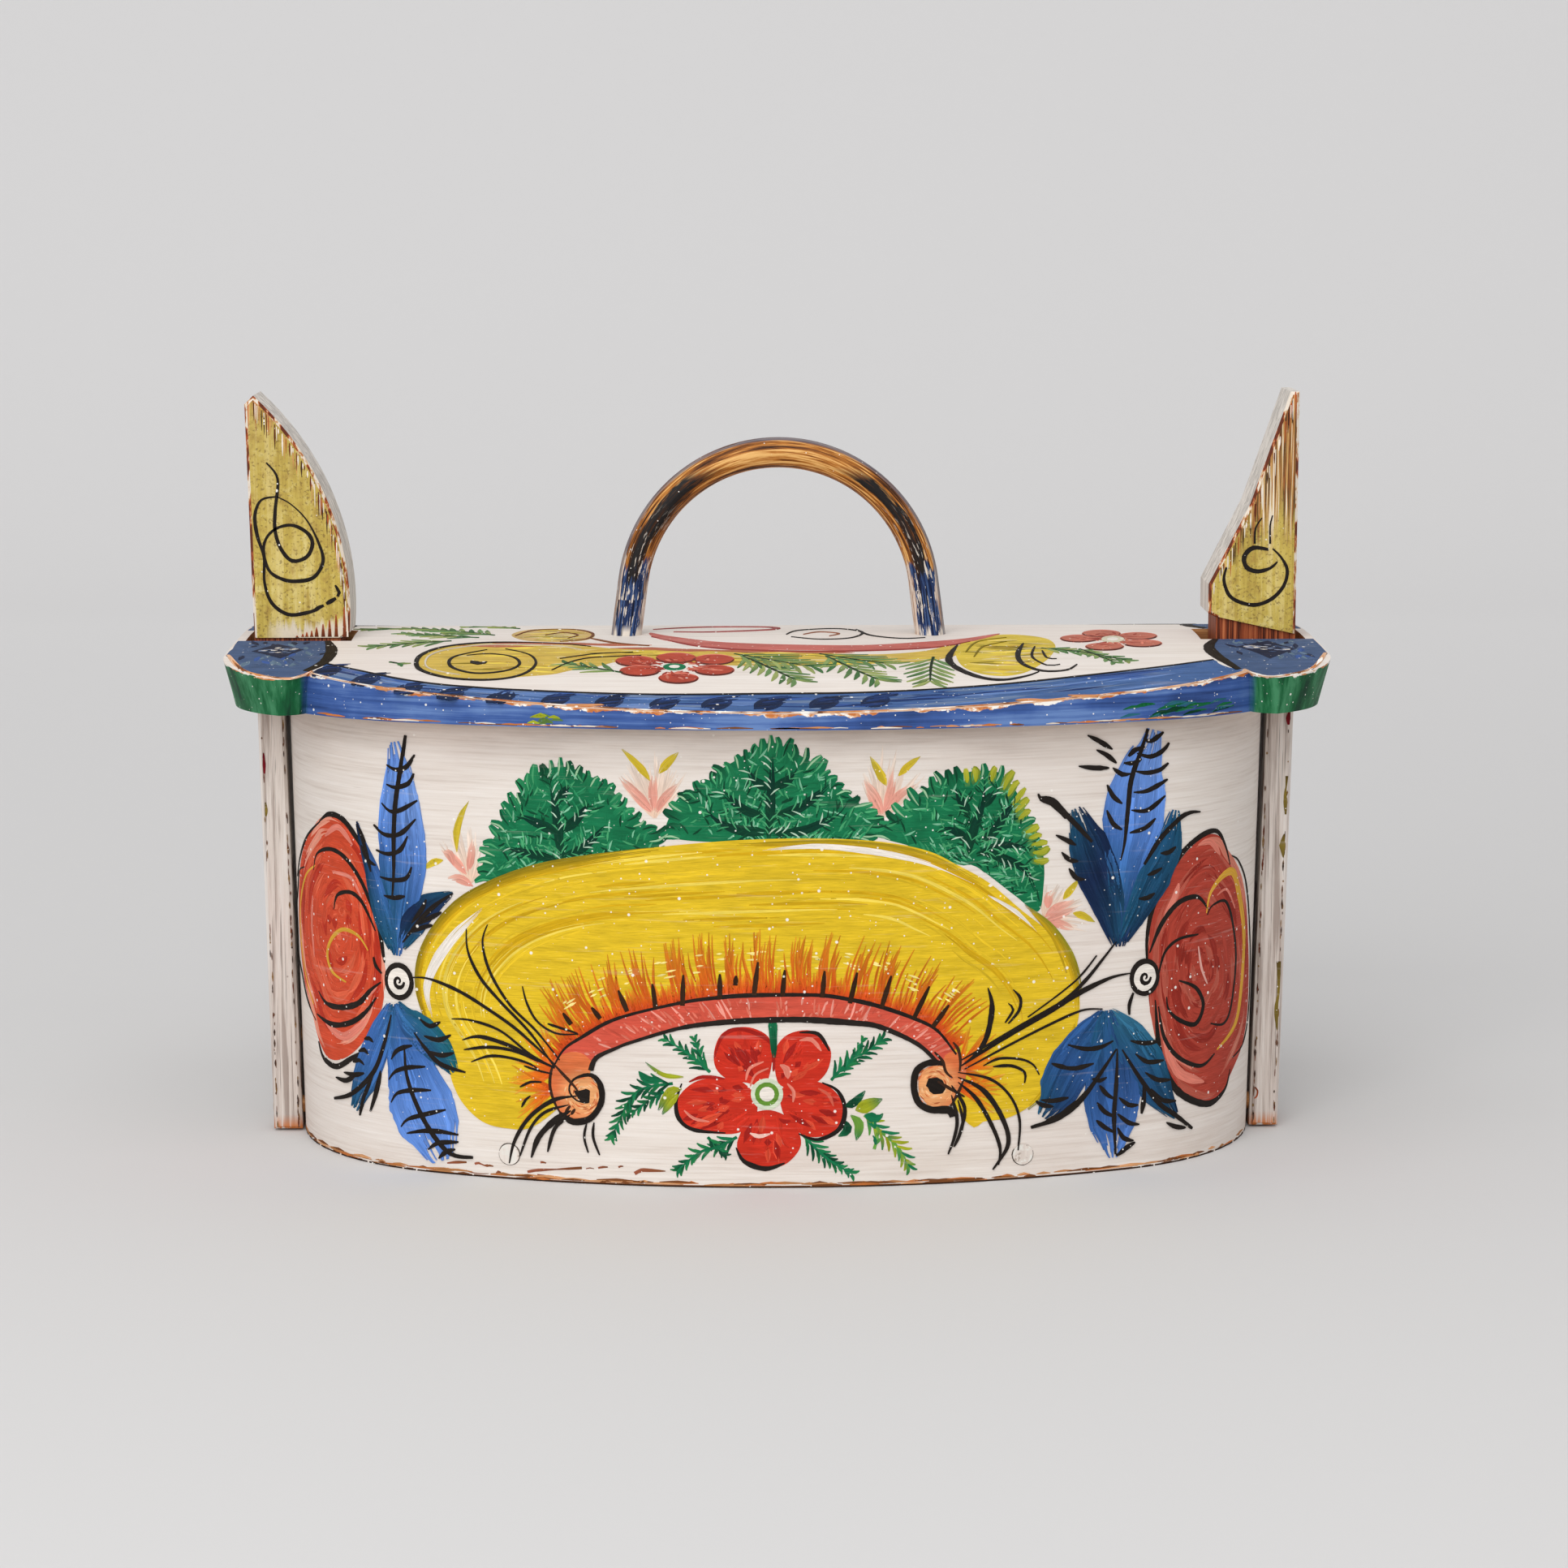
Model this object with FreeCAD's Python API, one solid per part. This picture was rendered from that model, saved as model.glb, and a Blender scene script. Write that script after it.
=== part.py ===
"""Norwegian tine: an oval bentwood box whose lid is held between two springy end posts.

Units are millimetres. X runs along the box, -Y is the front, +Z is up, and the origin
is on the standing surface under the middle of the base. Every function below makes one
kind of piece, and each piece is written to parts/ as its own STEP file.
"""
import FreeCAD
import Part
import math
import os

Vector = FreeCAD.Vector

# ---------------------------------------------------------------- driving dimensions
# Body: a bent strip of softwood around a flat oval base.
body_length = 335.0
body_depth = 195.0
body_end_radius = 80.0
wall_height = 153.5
wall_thickness = 4.0
end_flare = 3.0
side_flare = 1.8
base_thickness = 14.0
base_fit = 0.1

# The strip's ends are shaved to wedges and overlap at the back.
lap_tip_x = 30.0
lap_start_x = -60.0
lap_inner_x = -30.0
lap_step = 1.2
lap_slit = 0.2
lace_row_x = (20.0, -16.0)
lace_radius = 1.1
lace_pitch = 9.0
lace_start_z = 20.0
lace_end_margin = 16.0

# Wooden pegs through the wall into the edge of the base.
base_peg_radius = 3.5
left_base_peg_x = -89.6
right_base_peg_x = 80.4
base_peg_z = 8.5
base_peg_length = 18.0
peg_proud = 0.3
tight_fit = 0.05

# Springy posts outside the two ends of the body.
post_width = 26.0
post_foot_lift = 0.8
post_thickness_foot = 9.8
post_thickness_rim = 9.0
post_gap_foot = 0.3
post_gap_rim = 1.3
post_edge_bevel = 1.0
post_peg_radius = 3.0
post_peg_spread = 7.0
post_peg_upper_z = 32.0
post_peg_in_base = 12.0
post_peg_play = 0.3

# Heads of the posts: the neck stands in the slot of the lid, the nose overhangs it.
neck_reach = 29.2
neck_recess = 1.5
neck_lift = 0.6
shoulder_lift = 0.6
nose_overhang = 2.8
blade_height = 83.0
blade_nose_height = 2.2
blade_bulge = 10.0
blade_lean = 0.9
horn_set_out = 2.0
horn_height = 84.0
horn_nose_height = 8.3
horn_nose_length = 10.0
horn_bend_x = 13.8
horn_bend_height = 45.8
tip_width = 3.0

# Lid: one board, domed across its depth, with an ear and a slot at each end.
lid_gap = 0.2
lid_end_overhang = 16.0
lid_side_overhang = 10.4
lid_round_overhang = 12.0
lid_crest_thickness = 18.3
lid_edge_thickness = 5.3
plug_depth = 4.0
plug_clearance = 1.0
slot_nose_clearance = 0.8
slot_outer_clearance = 3.2
slot_side_clearance = 2.2
slot_bridge = 3.0
ear_half_width = 75.0
ear_hollow = 1.6
ear_tip_y = 43.0
ear_length = 30.8
ear_root_drop = 9.0
ear_crown_run = 9.5
ear_flank_in = 7.4
ear_flank_drop = 9.5
ear_undercut = 4.0
ear_bridge_undercut = 1.0

# Handle: a steamed bow whose ends pass through the lid and are pinned below it.
handle_offset = 0.8
bow_radius = 50.3
bow_centre_height = 12.4
bow_thickness = 10.4
bow_depth = 10.8
leg_splay = 7.5
tenon_radius = 4.0
tenon_below_plug = 8.0
pin_radius = 1.8
pin_length = 22.0

# ---------------------------------------------------------------- derived places
lid_length = body_length + 2 * lid_end_overhang
lid_depth = body_depth + 2 * lid_side_overhang
lid_end_radius = body_end_radius + lid_round_overhang
lid_bottom = wall_height + lid_gap
lid_crest = lid_bottom + lid_crest_thickness
plug_bottom = lid_bottom - plug_depth
post_outer_rim = body_length / 2 + post_gap_rim + post_thickness_rim
neck_inner = post_outer_rim - neck_reach
nose_x = neck_inner - nose_overhang
neck_bottom = wall_height + neck_lift
slot_inner = nose_x - slot_nose_clearance
slot_outer = post_outer_rim + slot_outer_clearance
slot_half_width = post_width / 2 + slot_side_clearance
ear_end = slot_outer + slot_bridge


def side_arc(half_length, half_depth, end_radius):
    """Radius of the long side arcs of an oval, and how far their centres lie off its axis."""
    end_centre = half_length - end_radius
    radius = (end_centre**2 + half_depth**2 - end_radius**2) / (2 * (half_depth - end_radius))
    return radius, radius - half_depth


def arc(start, middle, end):
    return Part.Arc(start, middle, end).toShape()


def oval_corner(half_length, half_depth, end_radius):
    """Point in the first quadrant where an end arc runs tangent into a side arc."""
    radius, offset = side_arc(half_length, half_depth, end_radius)
    stretch = radius / (radius - end_radius)
    return (half_length - end_radius) * stretch, offset * stretch - offset


def oval(half_length, half_depth, end_radius, z):
    """Closed wire of four tangent arcs at height z."""
    x, y = oval_corner(half_length, half_depth, end_radius)
    return Part.Wire([
        arc(Vector(x, -y, z), Vector(half_length, 0, z), Vector(x, y, z)),
        arc(Vector(x, y, z), Vector(0, half_depth, z), Vector(-x, y, z)),
        arc(Vector(-x, y, z), Vector(-half_length, 0, z), Vector(-x, -y, z)),
        arc(Vector(-x, -y, z), Vector(0, -half_depth, z), Vector(x, -y, z)),
    ])


def body_size(z, inset):
    """Half length, half depth and end radius of the flared body at height z."""
    below_rim = 1 - z / wall_height
    side_in = side_flare * below_rim + inset
    return (body_length / 2 - end_flare * below_rim - inset,
            body_depth / 2 - side_in,
            body_end_radius - side_in)


def body_oval(z, inset):
    return oval(*body_size(z, inset), z)


def side_y(x, z, inset=0.0):
    """Distance of the long wall from the axis at x and height z."""
    radius, offset = side_arc(*body_size(z, inset))
    return math.sqrt(radius**2 - x**2) - offset


def loft(lower, upper):
    return Part.makeLoft([lower, upper], True, True)


def prism(wire, height):
    return Part.Face(wire).extrude(Vector(0, 0, height))


def polygon(points):
    return Part.makePolygon(points + points[:1])


def rod(start, end, radius):
    """Round rod from one point to another."""
    along = end - start
    return Part.makeCylinder(radius, along.Length, start, along)


def mirrored(shape):
    """The same shape at the other end of the box."""
    return shape.mirror(Vector(0, 0, 0), Vector(1, 0, 0))


def join(shapes):
    joined = shapes[0]
    for shape in shapes[1:]:
        joined = joined.fuse(shape)
    return joined


# ---------------------------------------------------------------- pegs and lacing
def peg_axis(x, side):
    """Outer end and inward direction of the base peg at x on one side, square to the wall."""
    y = side_y(x, base_peg_z)
    radius, offset = side_arc(*body_size(base_peg_z, 0.0))
    inward = Vector(-x / radius, -(y + offset) / radius, 0)
    return Vector(x, y * side, base_peg_z), Vector(inward.x, inward.y * side, 0)


def base_peg(x, side, radius, extra_depth):
    start, inward = peg_axis(x, side)
    return rod(start - inward * peg_proud, start + inward * (base_peg_length + extra_depth), radius)


def all_base_pegs(radius, extra_depth):
    """Two pegs at the front and two at the back."""
    return [base_peg(x, side, radius, extra_depth)
            for x in (left_base_peg_x, right_base_peg_x) for side in (-1, 1)]


def post_peg_places():
    """Height and Y of the pegs that fix a post, and whether they reach into the base."""
    return [(base_peg_z, -post_peg_spread, True),
            (base_peg_z, post_peg_spread, True),
            (post_peg_upper_z, 0.0, False)]


def post_outer_x(z):
    """Outer face of a post's lower part at height z."""
    foot = body_length / 2 - end_flare + post_gap_foot + post_thickness_foot
    return foot + (post_outer_rim - foot) * z / wall_height


def post_pegs(play):
    """Pegs of the right-hand post, made larger all round by the play."""
    pegs = []
    for z, y, in_base in post_peg_places():
        wall_inner = body_size(z, wall_thickness)[0]
        inner_end = wall_inner - (post_peg_in_base if in_base else 0.0) - play
        outer_end = post_outer_x(z) + peg_proud + play
        pegs.append(rod(Vector(outer_end, y, z), Vector(inner_end, y, z), post_peg_radius + play))
    return pegs


def lap_surface_y(x, z):
    """Outer surface of the strip's overlapping end."""
    rise = lap_step * (x - lap_start_x) / (lap_tip_x - lap_start_x)
    return side_y(x, z) + max(0.0, rise)


def lace_knots(x):
    """Corners of one row of running stitch, on the outer and the inner wall surface."""
    corners = []
    stitches = int((wall_height - lace_end_margin - lace_start_z) / lace_pitch)
    for stitch in range(stitches + 1):
        z = lace_start_z + stitch * lace_pitch
        outer = Vector(x, lap_surface_y(x, z) + lace_radius, z)
        inner = Vector(x, side_y(x, z, wall_thickness) - lace_radius, z)
        corners += [outer, inner] if stitch % 2 else [inner, outer]
    return corners


def lace(x, radius):
    """One root lace that runs in and out of the lap."""
    corners = lace_knots(x)
    runs = [rod(start, end, radius) for start, end in zip(corners, corners[1:])]
    bends = [Part.makeSphere(radius, corner) for corner in corners[1:-1]]
    return join(runs + bends)


def lace_holes(x):
    """Holes through the lap, one for each pass of the lace."""
    corners = lace_knots(x)
    return [rod(*corners[step:step + 2], lace_radius + tight_fit)
            for step in range(0, len(corners), 2)]


# ---------------------------------------------------------------- body
def lapped_outline(z):
    """Outer outline of the wall, with the step where the outer end of the strip stops."""
    half_length, half_depth, _ = body_size(z, 0.0)
    x, y = oval_corner(*body_size(z, 0.0))
    middle_x = (lap_tip_x + lap_start_x) / 2
    tip = Vector(lap_tip_x, side_y(lap_tip_x, z), z)
    raised_tip = tip + Vector(0, lap_step, 0)
    start = Vector(lap_start_x, side_y(lap_start_x, z), z)
    before_tip = (x + lap_tip_x) / 2
    after_start = (lap_start_x - x) / 2
    return Part.Wire([
        arc(Vector(x, -y, z), Vector(half_length, 0, z), Vector(x, y, z)),
        arc(Vector(x, y, z), Vector(before_tip, side_y(before_tip, z), z), tip),
        Part.makeLine(tip, raised_tip),
        arc(raised_tip, Vector(middle_x, lap_surface_y(middle_x, z), z), start),
        arc(start, Vector(after_start, side_y(after_start, z), z), Vector(-x, y, z)),
        arc(Vector(-x, y, z), Vector(-half_length, 0, z), Vector(-x, -y, z)),
        arc(Vector(-x, -y, z), Vector(0, -half_depth, z), Vector(x, -y, z)),
    ])


def lap_slit_outline(z):
    """Thin gap between the two shaved ends, from the outer step to the inner surface."""
    outer = Vector(lap_tip_x, side_y(lap_tip_x, z), z)
    middle = Vector(0, side_y(0, z, wall_thickness / 2), z)
    inner = Vector(lap_inner_x, side_y(lap_inner_x, z, wall_thickness) - lap_slit, z)
    width = Vector(0, lap_slit, 0)
    return Part.Wire([
        arc(outer, middle, inner),
        Part.makeLine(inner, inner + width),
        arc(inner + width, middle + width, outer + width),
        Part.makeLine(outer + width, outer),
    ])


def make_body_wall():
    outer = loft(lapped_outline(0.0), lapped_outline(wall_height))
    inner = loft(body_oval(0.0, wall_thickness), body_oval(wall_height, wall_thickness))
    slit = loft(lap_slit_outline(0.0), lap_slit_outline(wall_height))
    cuts = [inner, slit] + all_base_pegs(base_peg_radius + tight_fit, 0.0)
    post_holes = post_pegs(post_peg_play)
    cuts += post_holes + [mirrored(hole) for hole in post_holes]
    for x in lace_row_x:
        cuts += lace_holes(x)
    return outer.cut(cuts)


def make_base_board():
    inset = wall_thickness + base_fit
    board = loft(body_oval(0.0, inset), body_oval(base_thickness, inset))
    post_holes = post_pegs(post_peg_play)
    cuts = all_base_pegs(base_peg_radius + tight_fit, tight_fit)
    return board.cut(cuts + post_holes + [mirrored(hole) for hole in post_holes])


def make_seam_lacing():
    return Part.makeCompound([lace(x, lace_radius) for x in lace_row_x])


# ---------------------------------------------------------------- posts
def upright(outline, width):
    """Board with its outline in the XZ plane, centred on Y = 0, its long edges bevelled."""
    board = Part.Face(outline).extrude(Vector(0, width, 0))
    board.translate(Vector(0, -width / 2, 0))
    rims = [edge for edge in board.Edges
            if abs(abs(edge.CenterOfMass.y) - width / 2) < tight_fit]
    return board.makeChamfer(post_edge_bevel, rims)


def point(x, z):
    return Vector(x, 0, z)


def straight_edges(corners):
    return [Part.makeLine(start, end) for start, end in zip(corners, corners[1:])]


def post_shank(neck_x):
    """Edges of the post beside the wall, from its outer face at the rim to the neck's inner face."""
    foot_inner = body_length / 2 - end_flare + post_gap_foot
    corners = [
        point(post_outer_rim, wall_height),
        point(post_outer_x(post_foot_lift), post_foot_lift),
        point(foot_inner, post_foot_lift),
        point(post_outer_rim - post_thickness_rim, neck_bottom),
        point(neck_x, neck_bottom),
    ]
    return straight_edges(corners)


def blade_head():
    """Edges of a head with one bowed and one straight edge, like the blade of a knife."""
    nose = point(nose_x, lid_crest + blade_nose_height)
    tip = point(post_outer_rim + blade_lean - tip_width / 2, lid_crest + blade_height)
    chord = tip - nose
    outward = Vector(-chord.z, 0, chord.x).normalize()
    bowed = (nose + tip) / 2 + outward * blade_bulge
    back_corner = point(post_outer_rim + blade_lean + tip_width / 2, tip.z - tip_width)
    under = straight_edges([point(neck_inner, neck_bottom), point(neck_inner, lid_crest), nose])
    back = straight_edges([tip, back_corner, point(post_outer_rim, wall_height)])
    return under + [arc(nose, bowed, tip)] + back


def horn_head():
    """Edges of a head that rises from a short nose in two straight runs to a narrow tip."""
    nose_z = lid_crest + horn_nose_height
    tip_z = lid_crest + horn_height
    horn_nose_x = nose_x + horn_set_out
    return straight_edges([
        point(neck_inner + horn_set_out, neck_bottom),
        point(neck_inner + horn_set_out, nose_z - nose_overhang / 2),
        point(horn_nose_x, nose_z),
        point(horn_nose_x, nose_z + horn_nose_length),
        point(horn_nose_x + horn_bend_x, lid_crest + horn_bend_height),
        point(post_outer_rim - tip_width, tip_z),
        point(post_outer_rim, tip_z),
        point(post_outer_rim, wall_height),
    ])


def neck_cheeks(shoulder):
    """Wood taken off both faces of the neck, up to a shoulder given by its inner and outer height."""
    outline = polygon([
        point(neck_inner - nose_overhang, neck_bottom - neck_lift),
        point(neck_inner - nose_overhang, shoulder[0]),
        point(post_outer_rim + nose_overhang, shoulder[1]),
        point(post_outer_rim + nose_overhang, neck_bottom - neck_lift),
    ])
    cheek = Part.Face(outline).extrude(Vector(0, neck_recess * 2, 0))
    return [cheek.translated(Vector(0, side * post_width / 2 - neck_recess, 0)) for side in (-1, 1)]


def make_post(head_edges, neck_x, shoulder):
    """Right-hand post: shank, neck and head in one piece, with its peg holes."""
    post = upright(Part.Wire(head_edges + post_shank(neck_x)), post_width)
    return post.cut(neck_cheeks(shoulder) + post_pegs(tight_fit))


def make_left_post():
    shoulder = lid_crest + shoulder_lift
    return mirrored(make_post(blade_head(), neck_inner, (shoulder, shoulder)))


def make_right_post():
    shoulder = (lid_crest + horn_nose_height, lid_crest + shoulder_lift)
    return make_post(horn_head(), neck_inner + horn_set_out, shoulder)


# ---------------------------------------------------------------- lid
def ear_side(side, z, inset):
    """Points round one corner of an ear, from its root inside the lid's oval to its tip."""
    tip_x = ear_end + ear_hollow - inset
    root_x = ear_end + ear_hollow - ear_length
    crown_y = ear_half_width - inset
    return [
        Vector(root_x, side * (crown_y - ear_root_drop), z),
        Vector(root_x + ear_crown_run / 3, side * (crown_y - ear_root_drop / 3), z),
        Vector(root_x + ear_crown_run, side * crown_y, z),
        Vector(tip_x - ear_flank_in, side * (crown_y - ear_flank_drop), z),
        Vector(tip_x, side * ear_tip_y, z),
    ]


def ear_outline(z, inset, bridge_inset):
    """Plan of one ear, with its back edge inside the oval of the lid."""
    front = ear_side(-1, z, inset)
    rear = ear_side(1, z, inset)
    return Part.Wire([
        arc(*front[:3]),
        arc(*front[2:]),
        arc(front[-1], Vector(ear_end - bridge_inset, 0, z), rear[-1]),
        arc(*reversed(rear[2:])),
        arc(*reversed(rear[:3])),
        Part.makeLine(rear[0], front[0]),
    ])


def dome():
    """Space under the lid's top face: flat below, a wide arc from front to back above."""
    reach = ear_end + lid_depth
    low = Vector(-reach, -lid_depth / 2, lid_bottom)
    edge = Vector(-reach, -lid_depth / 2, lid_bottom + lid_edge_thickness)
    crest = Vector(-reach, 0, lid_crest)
    far_edge = Vector(-reach, lid_depth / 2, lid_bottom + lid_edge_thickness)
    far_low = Vector(-reach, lid_depth / 2, lid_bottom)
    outline = Part.Wire([
        Part.makeLine(low, edge),
        arc(edge, crest, far_edge),
        Part.makeLine(far_edge, far_low),
        Part.makeLine(far_low, low),
    ])
    return Part.Face(outline).extrude(Vector(2 * reach, 0, 0))


def slot():
    """Through slot for the right-hand post."""
    corner = Vector(slot_inner, -slot_half_width, plug_bottom - plug_depth)
    return Part.makeBox(slot_outer - slot_inner, 2 * slot_half_width,
                        lid_crest - plug_bottom + 2 * plug_depth, corner)


def make_lid_board():
    plate = prism(oval(lid_length / 2, lid_depth / 2, lid_end_radius, lid_bottom), lid_crest_thickness)
    ear = loft(ear_outline(lid_bottom, ear_undercut, ear_bridge_undercut),
               ear_outline(lid_crest, 0.0, 0.0))
    board = join([plate, ear, mirrored(ear)]).common(dome())
    plug_inset = wall_thickness + plug_clearance
    plug = prism(oval(*body_size(wall_height, plug_inset), plug_bottom), plug_depth)
    holes = [tenon(side, tight_fit) for side in (-1, 1)]
    return board.fuse(plug).cut([slot(), mirrored(slot())] + holes).removeSplitter()


# ---------------------------------------------------------------- handle
def leg_point(side, height):
    """Point on the axis of a leg at a height above the crest of the lid."""
    splay = math.radians(leg_splay)
    tangent_x = bow_radius * math.cos(splay)
    tangent_height = bow_centre_height + bow_radius * math.sin(splay)
    x = tangent_x + (tangent_height - height) * math.tan(splay)
    return Vector(handle_offset + side * x, 0, lid_crest + height)


def tenon(side, play):
    """Round end of a leg, from inside the leg down through lid and plug."""
    below = lid_crest - plug_bottom + tenon_below_plug + play
    return rod(leg_point(side, bow_thickness / 2), leg_point(side, -below), tenon_radius + play)


def tenon_pin(side, radius):
    """Cross pin through a tenon, just below the plug."""
    depth = lid_crest - plug_bottom + pin_radius + tight_fit
    middle = leg_point(side, -depth)
    reach = Vector(0, pin_length / 2, 0)
    return rod(middle - reach, middle + reach, radius)


def section_at(place, along):
    """Oval section of the bow, square to its run, wider from front to back."""
    ellipse = Part.Ellipse(Vector(0, 0, 0), bow_depth / 2, bow_thickness / 2)
    wire = Part.Wire([ellipse.toShape()])
    across = Vector(0, 1, 0)
    wire.Placement = FreeCAD.Placement(place, FreeCAD.Rotation(across, along.cross(across), along, "ZXY"))
    return wire


def make_handle_bow():
    splay = math.radians(leg_splay)
    tangent_height = bow_centre_height + bow_radius * math.sin(splay)
    centre = Vector(handle_offset, 0, lid_crest + bow_centre_height)
    right = leg_point(1, tangent_height)
    down_right = Vector(math.sin(splay), 0, -math.cos(splay))
    face = Part.Face(section_at(right, down_right))
    arch = face.revolve(centre, Vector(0, -1, 0), 180 - 2 * leg_splay)
    pieces = [arch]
    for side in (-1, 1):
        top = leg_point(side, tangent_height)
        down = Vector(side * math.sin(splay), 0, -math.cos(splay))
        leg = Part.Face(section_at(top, down)).extrude(down * (tangent_height + bow_thickness))
        pieces.append(leg)
    above_lid = Part.makeBox(4 * bow_radius, 4 * bow_radius, 4 * bow_radius,
                             Vector(-2 * bow_radius, -2 * bow_radius, lid_crest))
    bow = join(pieces).common(above_lid)
    bow = join([bow] + [tenon(side, 0.0) for side in (-1, 1)])
    return bow.cut([tenon_pin(side, pin_radius + tight_fit) for side in (-1, 1)]).removeSplitter()


pieces = {
    "base_board": make_base_board(),
    "body_wall": make_body_wall(),
    "seam_lacing": make_seam_lacing(),
    "base_pegs": Part.makeCompound(all_base_pegs(base_peg_radius, 0.0)),
    "left_post": make_left_post(),
    "right_post": make_right_post(),
    "left_post_pegs": Part.makeCompound([mirrored(peg) for peg in post_pegs(0.0)]),
    "right_post_pegs": Part.makeCompound(post_pegs(0.0)),
    "lid_board": make_lid_board(),
    "handle_bow": make_handle_bow(),
    "handle_pins": Part.makeCompound([tenon_pin(side, pin_radius) for side in (-1, 1)]),
}

os.makedirs("parts", exist_ok=True)
for name, shape in pieces.items():
    shape.exportStep(f"parts/{name}.step")
    box = shape.BoundBox
    print(f"{name}: {len(shape.Solids)} solid(s), volume {shape.Volume:.0f}, valid {shape.isValid()}, "
          f"x {box.XMin:.1f}..{box.XMax:.1f}, y {box.YMin:.1f}..{box.YMax:.1f}, z {box.ZMin:.1f}..{box.ZMax:.1f}")
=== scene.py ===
"""Norwegian tine: a painted oval bentwood box whose lid is held between two end posts.

Everything is placed in metres in the frame of the construction model, with -Y the front. What
is measured along the wood, such as the width of a brush, is in millimetres, and METRE turns it
into metres. The painting is set out as the camera sees it, in pixels of its 1932-pixel frame,
and carried back on to the wood.
"""
import math
import random

import bpy
from mathutils import Euler, Matrix, Vector, geometry, noise


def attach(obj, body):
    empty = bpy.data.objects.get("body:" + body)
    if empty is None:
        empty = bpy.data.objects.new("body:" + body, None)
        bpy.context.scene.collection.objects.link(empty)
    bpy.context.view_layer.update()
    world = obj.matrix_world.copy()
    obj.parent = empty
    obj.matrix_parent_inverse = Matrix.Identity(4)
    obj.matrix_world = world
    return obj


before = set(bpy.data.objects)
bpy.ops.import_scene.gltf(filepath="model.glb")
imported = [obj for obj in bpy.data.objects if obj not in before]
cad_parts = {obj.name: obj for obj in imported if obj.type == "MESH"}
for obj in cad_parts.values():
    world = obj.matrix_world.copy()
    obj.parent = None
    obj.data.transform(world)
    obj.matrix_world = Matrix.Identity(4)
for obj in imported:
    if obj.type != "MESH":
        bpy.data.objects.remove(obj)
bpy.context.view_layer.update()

# ------------------------------------------------------------------------------ studio
# A seamless sweep of pale grey paper: it lies flat under the box and curves up behind it. Its colour is
# painted shade and light: darker on the floor in front, lighter up the back.
# A broad lamp in front and to the left, a weaker one overhead and an even sky light it.
PAPER_HALF_WIDTH = 6.0
PAPER_FRONT = -4.0
PAPER_BEND_START = 1.6
PAPER_BEND_RADIUS = 1.2
PAPER_TOP = 5.0
PAPER_BEND_STEPS = 24
PAPER_LIGHT_RAMP_FRONT = 0.2
PAPER_LIGHT_RAMP_BACK = 1.5
LIT_MIDDLE = (0.0, 0.0, 0.1)
SKY_STRENGTH = 0.64
CAMERA_PLACE = (-0.0214, -1.4451, 0.3437)
CAMERA_TURN = (math.pi / 2 - 0.1538, 0.0, -0.0167)
SENSOR_WIDTH = 36.0
LENS = 96.81


def pigment(red, green, blue):
    """Linear colour of a paint, given the way it looks on a scale of 0 to 255."""
    levels = [level / 255 for level in (red, green, blue)]
    return tuple(((level + 0.055) / 1.055) ** 2.4 if level > 0.04 else level / 12.92
                 for level in levels) + (1.0,)


def new_finish(name):
    """Empty finish: the material, its node tree and its shader."""
    finish = bpy.data.materials.new(name)
    finish.use_nodes = True
    return finish, finish.node_tree, finish.node_tree.nodes["Principled BSDF"]


def add(tree, kind, inputs=None, **settings):
    """Adds one shader node; an input is a value, or the socket that feeds it."""
    node = tree.nodes.new("ShaderNode" + kind)
    for setting, value in settings.items():
        setattr(node, setting, value)
    for socket, value in (inputs or {}).items():
        if isinstance(value, bpy.types.NodeSocket):
            tree.links.new(value, node.inputs[socket])
        else:
            node.inputs[socket].default_value = value
    return node


def mesh_piece(name, points, faces):
    mesh = bpy.data.meshes.new(name)
    mesh.from_pydata(points, [], faces)
    mesh.update()
    piece = bpy.data.objects.new(name, mesh)
    bpy.context.scene.collection.objects.link(piece)
    return piece


def make_paper_sweep():
    profile = [(PAPER_FRONT, 0.0), (PAPER_BEND_START, 0.0)]
    for step in range(1, PAPER_BEND_STEPS + 1):
        turn = math.pi / 2 * step / PAPER_BEND_STEPS
        profile.append((PAPER_BEND_START + PAPER_BEND_RADIUS * math.sin(turn),
                        PAPER_BEND_RADIUS * (1 - math.cos(turn))))
    profile.append((PAPER_BEND_START + PAPER_BEND_RADIUS, PAPER_TOP))
    points = [(side * PAPER_HALF_WIDTH, y, z) for y, z in profile for side in (-1, 1)]
    faces = [(2 * row, 2 * row + 1, 2 * row + 3, 2 * row + 2) for row in range(len(profile) - 1)]
    sweep = mesh_piece("paper_sweep", points, faces)
    sweep.data.shade_smooth()
    finish, tree, shader = new_finish("pale_paper_painted_light")
    place = add(tree, "TexCoord").outputs["Object"]
    # Painted light: the paper's colour runs from a darker floor in front to a lighter back.
    depth = add(tree, "SeparateXYZ", {0: place}).outputs["Y"]
    rise = add(tree, "MapRange",
               {"Value": depth, "From Min": PAPER_LIGHT_RAMP_FRONT, "From Max": PAPER_LIGHT_RAMP_BACK})
    tone = add(tree, "Mix", {0: rise.outputs[0], 6: PAPER_FLOOR_PAINTED_SHADE, 7: PAPER_BACK_PAINTED_LIGHT}, data_type="RGBA")
    tree.links.new(tone.outputs[2], shader.inputs["Base Color"])
    shader.inputs["Roughness"].default_value = 0.95
    shader.inputs["Specular IOR Level"].default_value = 0.1
    sweep.data.materials.append(finish)


def add_lamp(name, place, size, power):
    """Rectangular lamp turned toward the middle of the box."""
    data = bpy.data.lights.new(name, "AREA")
    data.shape = "RECTANGLE"
    data.size, data.size_y = size
    data.energy = power
    lamp = bpy.data.objects.new(name, data)
    lamp.location = place
    lamp.rotation_euler = (Vector(LIT_MIDDLE) - Vector(place)).to_track_quat("-Z", "Y").to_euler()
    bpy.context.scene.collection.objects.link(lamp)


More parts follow.
